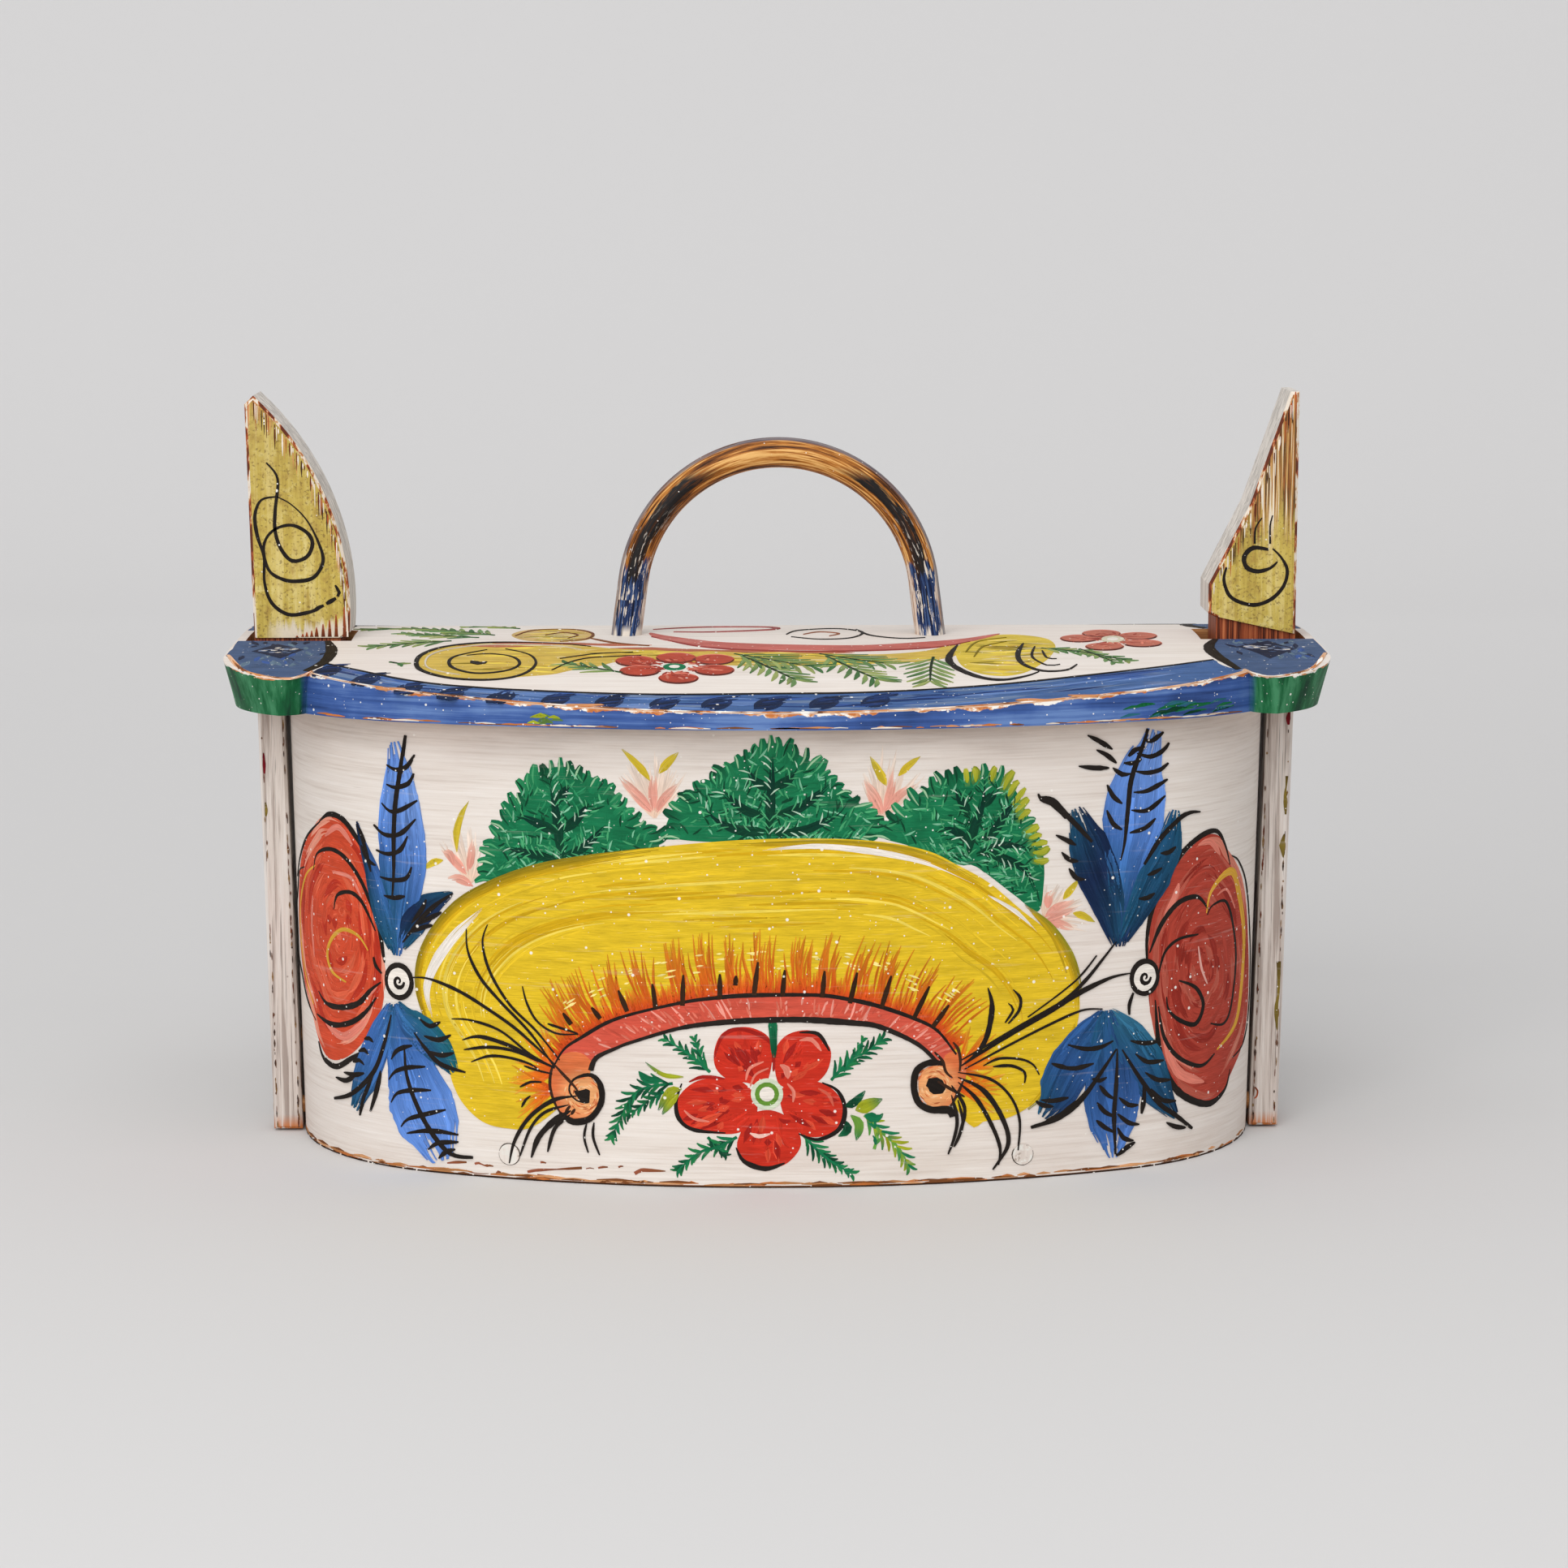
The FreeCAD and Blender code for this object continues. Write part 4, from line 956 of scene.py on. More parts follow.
# Blue feathered leaves in threes on both sides of the cartouche: brushed bodies whose tips fray
# where the brush ran dry, with a black midrib and short black barbs on top. A leaf is given by
# its line, its widths and the paints of its left and right side.
SKY_BLUE = pigment(98, 140, 214)
PALE_BLUE = pigment(120, 156, 220)
LEAF_BLUE = pigment(62, 104, 170)
DEEP_BLUE = pigment(42, 78, 130)
TEAL = pigment(30, 84, 112)
NAVY = pigment(24, 40, 72)
BLUE_GROUPS = {
    "blue_leaves_upper_left": (
        ((((486, 1170), (472, 1124), (459, 1074), (448, 1041), (440, 1012)), (4.0, 8.0, 7.0, 4.0, 0.8),
          (TEAL, NAVY), (TEAL, LEAF_BLUE, NAVY)),
         (((494, 1166), (508, 1139), (526, 1117), (558, 1100)), (4.0, 9.0, 8.0, 1.2),
          (NAVY, NAVY, TEAL), (TEAL, NAVY, NAVY)),
         (((489, 1177), (490, 1143), (494, 1103), (496, 1059), (493, 1015), (492, 975), (491, 943),
           (486, 914)),
          (4.0, 8.5, 14.5, 17.5, 17.8, 15.0, 10.5, 5.0), (TEAL, TEAL, LEAF_BLUE, SKY_BLUE, SKY_BLUE),
          (LEAF_BLUE, LEAF_BLUE, SKY_BLUE, PALE_BLUE, SKY_BLUE))),
        (((484, 1108), (486, 1074), (486, 1030), (488, 990), (494, 948), (500, 906)),
         ((477, 942), (488, 948), (501, 945), (511, 930)), ((477, 966), (488, 970), (504, 965), (510, 953)),
         ((471, 989), (481, 999), (494, 998), (515, 986)),
         ((461, 1016), (475, 1028), (494, 1027), (513, 1009)),
         ((464, 1047), (479, 1052), (494, 1047), (503, 1030)),
         ((469, 1080), (484, 1084), (501, 1082), (508, 1068)), ((474, 1103), (486, 1106), (500, 1104)),
         ((441, 1015), (450, 1041), (458, 1074)), ((446, 1041), (454, 1059), (464, 1066)),
         ((497, 1161), (523, 1128), (541, 1112), (558, 1101)), ((508, 1137), (520, 1121), (526, 1108)),
         ((515, 1139), (534, 1129), (544, 1124)), ((504, 1149), (523, 1142), (533, 1140)))),
    "blue_leaves_lower_left": (
        ((((489, 1236), (501, 1255), (526, 1277), (546, 1299), (560, 1321)), (3.0, 9.5, 11.5, 10.0, 4.0),
          (TEAL, pigment(26, 98, 100)), (LEAF_BLUE, TEAL)),
         (((484, 1238), (472, 1270), (459, 1303), (446, 1339), (437, 1365)), (4.0, 9.0, 11.0, 10.5, 5.0),
          (TEAL, LEAF_BLUE, TEAL), (LEAF_BLUE, LEAF_BLUE, TEAL)),
         (((488, 1237), (494, 1277), (506, 1317), (518, 1357), (532, 1393), (545, 1430)),
          (4.5, 11.0, 17.0, 23.0, 21.0, 9.0), (LEAF_BLUE, LEAF_BLUE, SKY_BLUE, SKY_BLUE),
          (TEAL, LEAF_BLUE, SKY_BLUE, SKY_BLUE))),
        (((499, 1288), (502, 1324), (515, 1363), (535, 1399), (557, 1422), (583, 1426)),
         ((483, 1305), (489, 1295), (499, 1290), (509, 1288)),
         ((480, 1330), (488, 1320), (504, 1315), (525, 1314)),
         ((483, 1358), (490, 1347), (508, 1343), (532, 1343)),
         ((495, 1388), (503, 1379), (523, 1373), (550, 1367)),
         ((502, 1396), (523, 1393), (544, 1394), (565, 1398)), ((528, 1416), (541, 1408), (565, 1407)),
         ((541, 1427), (550, 1419), (561, 1416)),
         ((483, 1250), (475, 1284), (461, 1321), (435, 1347), (413, 1353)),
         ((415, 1327), (428, 1331), (443, 1321)), ((425, 1321), (437, 1324), (450, 1322)),
         ((444, 1374), (449, 1353), (461, 1324)), ((457, 1369), (464, 1346), (470, 1319)),
         ((450, 1312), (444, 1306), (436, 1308)), ((455, 1299), (450, 1293), (443, 1295)),
         ((461, 1284), (456, 1279), (450, 1280)), ((511, 1272), (526, 1293), (544, 1311), (574, 1321)),
         ((523, 1276), (541, 1281), (556, 1275)), ((529, 1295), (544, 1300), (560, 1297)),
         ((518, 1255), (530, 1264), (543, 1259)))),
    "blue_leaves_upper_right": (
        ((((1376, 1163), (1367, 1119), (1351, 1072), (1336, 1029), (1325, 996)),
          (4.0, 11.0, 14.5, 13.5, 5.0), (NAVY, NAVY, TEAL), (TEAL, NAVY, NAVY)),
         (((1382, 1160), (1402, 1119), (1421, 1080), (1440, 1037), (1448, 998)),
          (4.0, 9.0, 13.0, 12.0, 4.0), (TEAL, pigment(36, 84, 128)), (NAVY, TEAL)),
         (((1379, 1166), (1380, 1119), (1386, 1065), (1394, 1026), (1400, 983), (1406, 948), (1415, 921),
           (1421, 899)), (4.0, 9.0, 11.0, 17.0, 22.5, 21.5, 15.0, 7.0),
          (NAVY, TEAL, LEAF_BLUE, SKY_BLUE, SKY_BLUE), (NAVY, LEAF_BLUE, SKY_BLUE, PALE_BLUE))),
        (((1380, 1060), (1385, 1037), (1389, 998), (1393, 961), (1404, 928), (1414, 898)),
         ((1282, 982), (1297, 985), (1312, 1002), (1330, 1021), (1345, 1037)),
         ((1279, 978), (1283, 985), (1296, 990), (1308, 1001), (1313, 1008)),
         ((1301, 1029), (1314, 1035), (1325, 1041)), ((1308, 1050), (1317, 1059), (1328, 1061)),
         ((1317, 1070), (1326, 1082), (1336, 1083)),
         ((1478, 1000), (1466, 1001), (1452, 1009), (1429, 1033), (1409, 1065)),
         ((1429, 1051), (1439, 1050), (1448, 1043)), ((1413, 1078), (1423, 1074), (1431, 1069)),
         ((1402, 1107), (1413, 1106), (1422, 1100)), ((1364, 967), (1371, 981), (1382, 990)),
         ((1363, 998), (1371, 1015), (1382, 1022)), ((1371, 946), (1382, 954), (1392, 953)),
         ((1396, 976), (1413, 974), (1438, 960)), ((1398, 950), (1413, 952), (1429, 948), (1439, 940)),
         ((1400, 928), (1417, 932), (1433, 924), (1440, 915)), ((1393, 998), (1413, 998), (1435, 980)),
         ((1391, 1026), (1410, 1020), (1423, 1008)), ((1384, 940), (1396, 940), (1406, 935)),
         ((1408, 909), (1417, 913), (1433, 902)), ((1410, 920), (1398, 924), (1390, 932)),
         ((1340, 906), (1354, 913), (1370, 923)), ((1351, 924), (1363, 930), (1375, 940)),
         ((1329, 944), (1347, 946), (1366, 946)))),
    "blue_leaves_lower_right": (
        ((((1361, 1247), (1339, 1282), (1318, 1317), (1301, 1350), (1284, 1376)),
          (4.0, 12.0, 15.5, 14.0, 5.0), (TEAL, DEEP_BLUE, NAVY), (DEEP_BLUE, DEEP_BLUE, TEAL)),
         (((1366, 1247), (1392, 1282), (1413, 1317), (1429, 1348), (1448, 1376)),
          (4.0, 13.0, 16.0, 12.0, 3.0), (pigment(60, 120, 150), TEAL, NAVY), (TEAL, DEEP_BLUE, TEAL)),
         (((1363, 1245), (1365, 1282), (1369, 1321), (1371, 1360), (1371, 1391), (1371, 1426)),
          (4.0, 12.0, 17.0, 20.0, 17.0, 4.0), (DEEP_BLUE, DEEP_BLUE, LEAF_BLUE, SKY_BLUE),
          (TEAL, DEEP_BLUE, LEAF_BLUE))),
        (((1376, 1292), (1375, 1329), (1372, 1376), (1374, 1422)),
         ((1398, 1407), (1386, 1415), (1375, 1424)),
         ((1375, 1292), (1356, 1321), (1332, 1354), (1306, 1376), (1270, 1389)),
         ((1382, 1293), (1403, 1327), (1427, 1359), (1448, 1374), (1468, 1390)),
         ((1315, 1287), (1336, 1292), (1355, 1290), (1371, 1282)),
         ((1304, 1314), (1324, 1316), (1347, 1310)), ((1295, 1310), (1304, 1313), (1316, 1316)),
         ((1282, 1355), (1297, 1356), (1316, 1352)), ((1276, 1356), (1283, 1361), (1297, 1363)),
         ((1289, 1380), (1308, 1372), (1325, 1356)), ((1363, 1327), (1355, 1331), (1345, 1329)),
         ((1373, 1354), (1363, 1348), (1354, 1337)), ((1375, 1376), (1361, 1370), (1351, 1358)),
         ((1373, 1395), (1361, 1389), (1350, 1380)), ((1378, 1352), (1390, 1361), (1402, 1361)),
         ((1376, 1372), (1390, 1383), (1403, 1385)), ((1376, 1389), (1384, 1402), (1396, 1405)),
         ((1392, 1282), (1410, 1285), (1429, 1282)), ((1398, 1298), (1413, 1308), (1433, 1306)),
         ((1410, 1321), (1425, 1330), (1441, 1330)), ((1417, 1341), (1431, 1355), (1448, 1356)),
         ((1408, 1333), (1409, 1352), (1406, 1372)), ((1437, 1383), (1448, 1388), (1460, 1389)))),
}
for name, (leaves, barbs) in BLUE_GROUPS.items():
    film = PaintFilm(name, on_wall, first_coat=14)
    for pixels, widths, paints, other_paints in leaves:
        spine = wall_line(pixels)
        film.brush(spine, [0.82 * width for width in widths], paints, 0, hairs=3, right_paints=other_paints)
        film.brush(spine, widths, paints, 1, hairs=14, dry=0.16, right_paints=other_paints, tone=0.13)
        film.brush(spine, [0.95 * width for width in widths], paints, 2, hairs=8, dry=0.7,
                   right_paints=other_paints, tone=0.2)
    for pixels in barbs:
        widths = (0.5, 1.5, 1.8, 1.7, 0.9) if len(pixels) > 4 else (0.4, 1.5, 1.7, 0.5)
        film.brush(wall_line(pixels), widths, (INK,), 5, tone=0.02)
    film.dry("body", "wall_paint")

# A full rose at each end: a red disc brushed round its heart, pink lights, then black and
# yellow arcs. Between the leaves beside it sits a white eye ringed in black. A rose is given by
# its heart, its paints, its outline, its arcs, the eye's middle and the eye's tail.
ROSE_PINK = pigment(222, 128, 110)
ROSE_YELLOW = pigment(212, 160, 56)
ROSES = {
    "rose_left": (
        (422, 1137),
        (pigment(204, 76, 48), pigment(180, 52, 34), pigment(216, 96, 66), pigment(232, 152, 128)),
        ((393, 1010), (406, 1004), (425, 1013), (443, 1036), (456, 1070), (465, 1118), (471, 1163),
         (473, 1204), (468, 1244), (452, 1278), (428, 1302), (406, 1304), (393, 1280), (385, 1246),
         (376, 1210), (371, 1165), (369, 1120), (370, 1072), (376, 1040)),
        ((((394, 1012), (406, 1003), (423, 1010), (440, 1033), (451, 1054)), 2.0, INK),
         (((367, 1079), (371, 1052), (379, 1030), (395, 1012)), 1.0, INK),
         (((376, 1068), (369, 1074), (367, 1103), (367, 1146), (371, 1190), (379, 1230), (390, 1257)), 1.5,
          INK),
         (((387, 1072), (391, 1052), (407, 1046), (425, 1056), (443, 1081), (456, 1110), (466, 1141),
           (472, 1179)),
          1.6, INK),
         (((412, 1120), (416, 1103), (431, 1099), (444, 1108), (454, 1126), (463, 1147)), 1.5, INK),
         (((393, 1221), (403, 1236), (421, 1241), (442, 1236), (457, 1220), (470, 1210)), 2.1, INK),
         (((391, 1249), (410, 1262), (432, 1260), (450, 1248), (464, 1229)), 2.0, INK),
         (((393, 1283), (399, 1303), (415, 1314), (435, 1303), (451, 1294)), 2.0, INK),
         (((463, 1124), (470, 1157), (474, 1186)), 1.3, INK),
         (((454, 1171), (442, 1153), (423, 1145), (409, 1157), (404, 1176), (410, 1197), (427, 1210)), 1.5,
          ROSE_YELLOW),
         (((389, 1066), (377, 1080), (371, 1117), (372, 1161), (379, 1208), (387, 1237)), 1.5, ROSE_YELLOW),
         (((401, 1030), (417, 1019), (435, 1041)), 2.2, ROSE_PINK),
         (((410, 1074), (432, 1081), (446, 1106)), 1.4, ROSE_PINK),
         (((386, 1103), (385, 1139), (388, 1179)), 1.6, ROSE_PINK),
         (((399, 1255), (424, 1277), (454, 1255)), 3.0, ROSE_PINK),
         (((443, 1234), (455, 1224), (465, 1215)), 2.0, ROSE_PINK)),
        (492, 1209), ((471, 1199), (464, 1190), (461, 1179))),
    "rose_right": (
        (1474, 1190),
        (pigment(172, 66, 52), pigment(146, 46, 36), pigment(182, 88, 72), pigment(208, 124, 104)),
        ((1418, 1240), (1416, 1197), (1416, 1158), (1423, 1119), (1440, 1083), (1460, 1052), (1482, 1032),
         (1499, 1028), (1511, 1045), (1525, 1068), (1534, 1104), (1537, 1150), (1538, 1200), (1536, 1250),
         (1529, 1290), (1516, 1322), (1505, 1346), (1489, 1356), (1467, 1351), (1447, 1333), (1430, 1298)),
        ((((1414, 1197), (1413, 1158), (1420, 1119), (1437, 1082), (1458, 1049), (1481, 1029), (1499, 1024),
           (1509, 1041), (1515, 1065)), 1.9, INK),
         (((1517, 1054), (1526, 1061), (1535, 1088), (1539, 1135), (1540, 1189), (1538, 1243), (1532, 1282),
           (1518, 1303)), 1.1, INK),
         (((1486, 1125), (1491, 1100), (1505, 1080), (1518, 1074), (1525, 1096), (1532, 1150), (1529, 1212),
           (1522, 1259), (1499, 1293)), 3.4, ROSE_YELLOW),
         (((1416, 1174), (1431, 1138), (1452, 1112), (1475, 1105), (1488, 1120)), 1.9, INK),
         (((1487, 1127), (1494, 1115), (1510, 1111), (1519, 1142), (1522, 1185), (1516, 1240), (1507, 1261),
           (1491, 1261)), 1.5, INK),
         (((1427, 1201), (1435, 1173), (1452, 1157), (1476, 1151)), 1.1, INK),
         (((1437, 1228), (1440, 1245), (1455, 1258), (1473, 1261), (1482, 1238), (1473, 1217),
           (1452, 1208)), 1.7, INK),
         (((1427, 1240), (1434, 1278), (1452, 1303), (1479, 1313), (1496, 1298)), 1.6, INK),
         (((1423, 1232), (1429, 1298), (1445, 1337), (1467, 1355), (1491, 1359), (1509, 1341),
           (1515, 1317)), 2.5, INK),
         (((1476, 1166), (1480, 1193), (1487, 1212)), 1.0, pigment(228, 170, 158)),
         (((1452, 1088), (1448, 1103), (1433, 1135)), 2.6, ROSE_PINK),
         (((1476, 1041), (1491, 1037), (1503, 1053)), 2.4, ROSE_PINK),
         (((1433, 1282), (1452, 1321), (1483, 1333)), 3.6, ROSE_PINK),
         (((1429, 1255), (1441, 1294), (1468, 1317)), 1.5, ROSE_PINK),
         (((1499, 1103), (1511, 1096), (1521, 1119)), 1.0, ROSE_PINK)),
        (1410, 1204), ((1396, 1223), (1391, 1238), (1391, 1250))),
}
ROSE_ROUNDS = 11
PULLS_PER_ROUND = 12
EYE_RADIUS = 5.0
EYE_HEIGHT = 5.5


def round_outline(middle, half_width, half_height, corners):
    """Closed oval outline on a canvas."""
    turns = [2 * math.pi * corner / corners for corner in range(corners)]
    return [(middle[0] + half_width * math.cos(turn), middle[1] + half_height * math.sin(turn))
            for turn in turns]


def rose_pull(edge, heart, start, bend, size):
    """Route of one pull of the brush round a rose, parallel to its edge and nearer to its heart."""
    places = [(start + bend * part // 5) % len(edge) for part in range(6)]
    return [heart + (Vector(edge[place]) - heart) * size for place in places]


for name, (middle, (red, deep_red, light_red, rim_pink), outline, arcs, eye, tail) in ROSES.items():
    film = PaintFilm(name, on_wall, first_coat=5)
    chance = film.chance
    heart = wall_spot(middle)
    edge = smooth(wall_line(outline + outline[:1]), 2.0)
    film.patch(edge[:-1:3], red, 0, gap=3.0, mottle=0.1)
    for turn in range(ROSE_ROUNDS):
        for pull in range(PULLS_PER_ROUND):
            start = chance.randrange(len(edge))
            bend = chance.randint(len(edge) // 12, len(edge) // 5)
            paint = chance.choice((red, deep_red, light_red, rim_pink if turn < 2 else red))
            route = rose_pull(edge, heart, start, bend, 0.96 - 0.085 * turn)
            film.brush(route, (0.4, 2.4, 2.8, 0.5), (paint,), 1, hairs=4, dry=0.35)
    for pixels, width, paint in arcs:
        film.brush(wall_line(pixels), (0.4, 0.9 * width, width, 0.9 * width, 0.5), (paint,), 3, tone=0.03)
    white = wall_spot(eye)
    ring = round_outline(white, EYE_RADIUS, EYE_HEIGHT, 12)
    film.patch(ring, WHITE, 14, gap=2.0)
    film.brush(ring + ring[:2], (1.2, 1.9, 1.3, 1.8, 1.3), (INK,), 16)
    curl = [(white.x + 0.45 * EYE_RADIUS * (1 - turn / 16) * math.cos(-0.55 * turn),
             white.y + 0.5 * EYE_RADIUS * (1 - turn / 16) * math.sin(-0.55 * turn)) for turn in range(15)]
    film.brush(curl, (0.8, 1.5, 0.9, 0.6), (INK,), 16, step=0.7)
    film.brush(wall_line(tail), (0.5, 1.2, 0.5), (INK,), 16)
    film.dry("body", "wall_paint")

# Flower under the arch: five red petals round a ringed heart, on a short green stem, with fern
# sprigs and a few broad leaves on both sides.
FLOWER_RED = pigment(200, 50, 34)
FLOWER_DARK = pigment(158, 34, 28)
FLOWER_HEART = wall_spot((945, 1348))
PETALS = (
    ((952, 1301), (947, 1278), (928, 1267), (908, 1266), (889, 1274), (880, 1295), (882, 1316), (897, 1330),
     (920, 1334), (943, 1336)),
    ((954, 1301), (962, 1282), (977, 1272), (1000, 1270), (1016, 1282), (1024, 1297), (1019, 1320),
     (1004, 1335), (985, 1339), (960, 1336)),
    ((931, 1351), (912, 1332), (885, 1328), (859, 1332), (841, 1345), (834, 1360), (840, 1381), (859, 1393),
     (885, 1397), (912, 1395), (931, 1378)),
    ((962, 1343), (985, 1335), (1008, 1333), (1027, 1343), (1040, 1362), (1039, 1381), (1027, 1395),
     (1008, 1401), (987, 1397), (966, 1374)),
    ((924, 1374), (912, 1397), (908, 1412), (914, 1427), (931, 1438), (950, 1440), (970, 1433), (985, 1416),
     (986, 1400), (975, 1380), (950, 1368)))
PETAL_LINES = (
    (((952, 1309), (950, 1286), (931, 1273), (908, 1268), (890, 1277), (880, 1303)), 1.3, FLOWER_DARK),
    (((985, 1272), (1008, 1274), (1022, 1295)), 1.2, INK), (((954, 1303), (953, 1320)), 0.9, FLOWER_DARK),
    (((840, 1335), (833, 1358), (837, 1379), (855, 1392), (894, 1396)), 1.4, INK),
    (((907, 1414), (917, 1431), (943, 1440), (967, 1433)), 1.7, INK),
    (((984, 1397), (1008, 1404), (1034, 1391), (1041, 1366), (1032, 1344), (1013, 1334)), 1.5, INK),
    (((960, 1378), (966, 1382), (974, 1381)), 1.3, FLOWER_DARK),
    (((849, 1333), (866, 1327), (893, 1329)), 1.2, FLOWER_DARK),
    (((919, 1331), (924, 1316), (941, 1308)), 1.0, ROSE_PINK),
    (((924, 1339), (931, 1324), (947, 1316)), 0.7, ROSE_PINK),
    (((961, 1312), (969, 1317), (971, 1329)), 2.4, ROSE_PINK),
    (((970, 1335), (978, 1345), (977, 1358)), 1.1, ROSE_PINK),
    (((924, 1396), (935, 1400), (949, 1397)), 1.3, pigment(232, 190, 176)),
    (((843, 1368), (855, 1378), (874, 1382)), 1.0, ROSE_PINK),
    (((985, 1282), (1000, 1281), (1012, 1295)), 1.4, ROSE_PINK),
    (((1008, 1341), (1021, 1349), (1027, 1363)), 1.0, pigment(214, 96, 76)))
FERN = (GREEN, pigment(34, 122, 70), GREEN_DARK)
FRESH = (pigment(94, 150, 62), GREEN, YELLOW_GREEN)
SPRIGS = (
    (((875, 1321), (855, 1304), (840, 1293), (821, 1281)), 4.6, FERN),
    (((866, 1312), (862, 1299), (856, 1281)), 3.0, FERN),
    (((829, 1335), (801, 1339), (782, 1348), (768, 1370), (754, 1401)), 5.2, FERN),
    (((818, 1345), (797, 1358), (775, 1374)), 3.6, FERN),
    (((908, 1401), (885, 1413), (862, 1420), (836, 1441)), 5.0, FERN),
    (((872, 1401), (882, 1412), (893, 1422)), 3.0, FERN),
    (((1024, 1331), (1042, 1312), (1065, 1297), (1087, 1281)), 5.2, FERN),
    (((1039, 1320), (1052, 1303), (1063, 1282)), 3.2, FERN),
    (((990, 1399), (1008, 1418), (1027, 1433), (1048, 1445)), 4.8, FERN),
    (((1065, 1374), (1086, 1395), (1107, 1414), (1120, 1437)), 5.6, FRESH),
    (((1077, 1416), (1081, 1397), (1073, 1381)), 2.6, FRESH))
BROAD_LEAVES = (
    (((842, 1327), (817, 1324), (795, 1309)), 1.2, YELLOW_GREEN),
    (((787, 1320), (797, 1330), (817, 1332)), 2.6, GREEN),
    (((840, 1342), (826, 1345), (811, 1368)), 2.6, YELLOW_GREEN),
    (((836, 1348), (826, 1358), (816, 1373)), 2.2, YELLOW_GREEN),
    (((1041, 1363), (1052, 1358), (1066, 1344)), 2.6, GREEN_DARK),
    (((1054, 1368), (1069, 1362), (1087, 1354)), 3.6, YELLOW_GREEN),
    (((1048, 1374), (1058, 1385), (1055, 1405)), 3.0, pigment(104, 150, 60)),
    (((1065, 1374), (1081, 1378), (1088, 1372)), 2.6, GREEN),
    (((1042, 1381), (1044, 1393), (1033, 1400)), 2.4, GREEN_DARK))

PETAL_PULLS = 34
flower = PaintFilm("centre_flower", on_wall, first_coat=2)
chance = flower.chance
stem = wall_line(((952, 1257), (953, 1278), (954, 1303)))
flower.brush(stem, (3.0, 2.2, 1.4), (GREEN, GREEN_DARK), 9, hairs=3, dry=0.1)
for petal_pixels in PETALS:
    petal = wall_line(petal_pixels)
    middle = sum(petal, Vector((0.0, 0.0))) / len(petal)
    flower.patch(petal, FLOWER_RED, 0, gap=2.5, mottle=0.12)
    for pull in range(PETAL_PULLS):
        start = FLOWER_HEART.lerp(middle, chance.uniform(0.3, 1.3))
        side = Vector((chance.uniform(-6, 6), chance.uniform(-6, 6)))
        tip = start + (middle - FLOWER_HEART) * chance.uniform(0.2, 0.45) + side * 0.5
        if within(petal, start + side) and within(petal, tip + side):
            paint = chance.choice((FLOWER_RED, FLOWER_DARK, pigment(212, 74, 50)))
            flower.brush([start + side, (start + tip) / 2 + side, tip + side], (0.4, 1.8, 0.4), (paint,), 1,
                         hairs=2, dry=0.3)
for pixels, width, paint in PETAL_LINES:
    flower.brush(wall_line(pixels), (0.4, width, width, 0.4), (paint,), 2, tone=0.03)
for radius, paint, coat in ((5.3, pigment(206, 214, 190), 3), (4.0, pigment(96, 140, 50), 4),
                            (2.5, WHITE, 5)):
    flower.patch(round_outline(FLOWER_HEART, radius, radius, 14), paint, coat, gap=2.0)


def sprig(film, spine, leaf, paints, coat=1, pitch=2.6, thick=1.25):
    """Fern sprig: a thin stalk with paired leaflets that shorten towards its tip."""
    film.brush(spine, (1.0, 0.9, 0.4), (paints[0],), coat)
    stalk = [Vector(point) for point in smooth(spine, pitch)]
    for index in range(1, len(stalk)):
        here = stalk[index]
        ahead = (here - stalk[index - 1]).normalized()
        size = leaf * (1.0 - 0.55 * index / len(stalk)) * film.chance.uniform(0.8, 1.15)
        for side in (-1, 1):
            out = ahead * 0.85 + Vector((-ahead.y, ahead.x)) * side * 0.75
            route = [here - ahead * 0.8, here + out * size * 0.5 + ahead * 0.3, here + out * size]
            two_paints = (film.chance.choice(paints), film.chance.choice(paints))
            film.brush(route, (0.4, thick, 0.35), two_paints, coat, step=0.8)


for pixels, leaf, paints in SPRIGS:
    sprig(flower, wall_line(pixels), leaf, paints)
for pixels, width, paint in BROAD_LEAVES:
    flower.brush(wall_line(pixels), (0.4, width, 0.8 * width, 0.4), (paint, paint, GREEN), 2, hairs=3,
                 dry=0.1)
flower.dry("body", "wall_paint")

# Wear along the wall's lower edge: the paint has gone from the arris, and in longer chips above
# it. It shows all round but for the lap at the back, which stands proud of it.
EDGE_REACH = 420.0
# Near-black line on the lowest arris: painted shadow where the wall meets the floor, and the arris's grime.
EDGE_SHADOW_AND_GRIME = pigment(52, 36, 28)
EDGE_KNOTS = 28
EDGE_CHIPS = 250
edge_wear_and_shadow = PaintFilm("wall_edge_wear", on_wall)
chance = edge_wear_and_shadow.chance
# Below the dark worn line, a second line is painted shadow along the lowest arris.
for half in (-1, 1):
    for height, widths, paint, coat in ((0.5, (0.7, 0.4, 0.8, 0.5, 0.8), BARE_WOOD_DARK, 0),
                                        (0.3, (0.4, 0.55, 0.45, 0.55), EDGE_SHADOW_AND_GRIME, 2)):
        route = [(half * EDGE_REACH * step / EDGE_KNOTS, height) for step in range(EDGE_KNOTS + 1)]
        edge_wear_and_shadow.brush(route, widths, (paint,), coat, step=6.0)
for chip in range(EDGE_CHIPS):
    start, length = chance.uniform(-EDGE_REACH, EDGE_REACH), chance.uniform(2.0, 14.0)
    height = chance.uniform(0.7, 1.7)
    paint = chance.choice((WORN_WOOD, BARE_WOOD, pigment(206, 150, 104), BARE_WOOD_DARK))
    edge_wear_and_shadow.brush([(start, height), (start + length / 2, height + 0.2), (start + length, height)],
                    (0.2, chance.uniform(0.4, 1.1), 0.2), (paint,), 1, step=1.8)

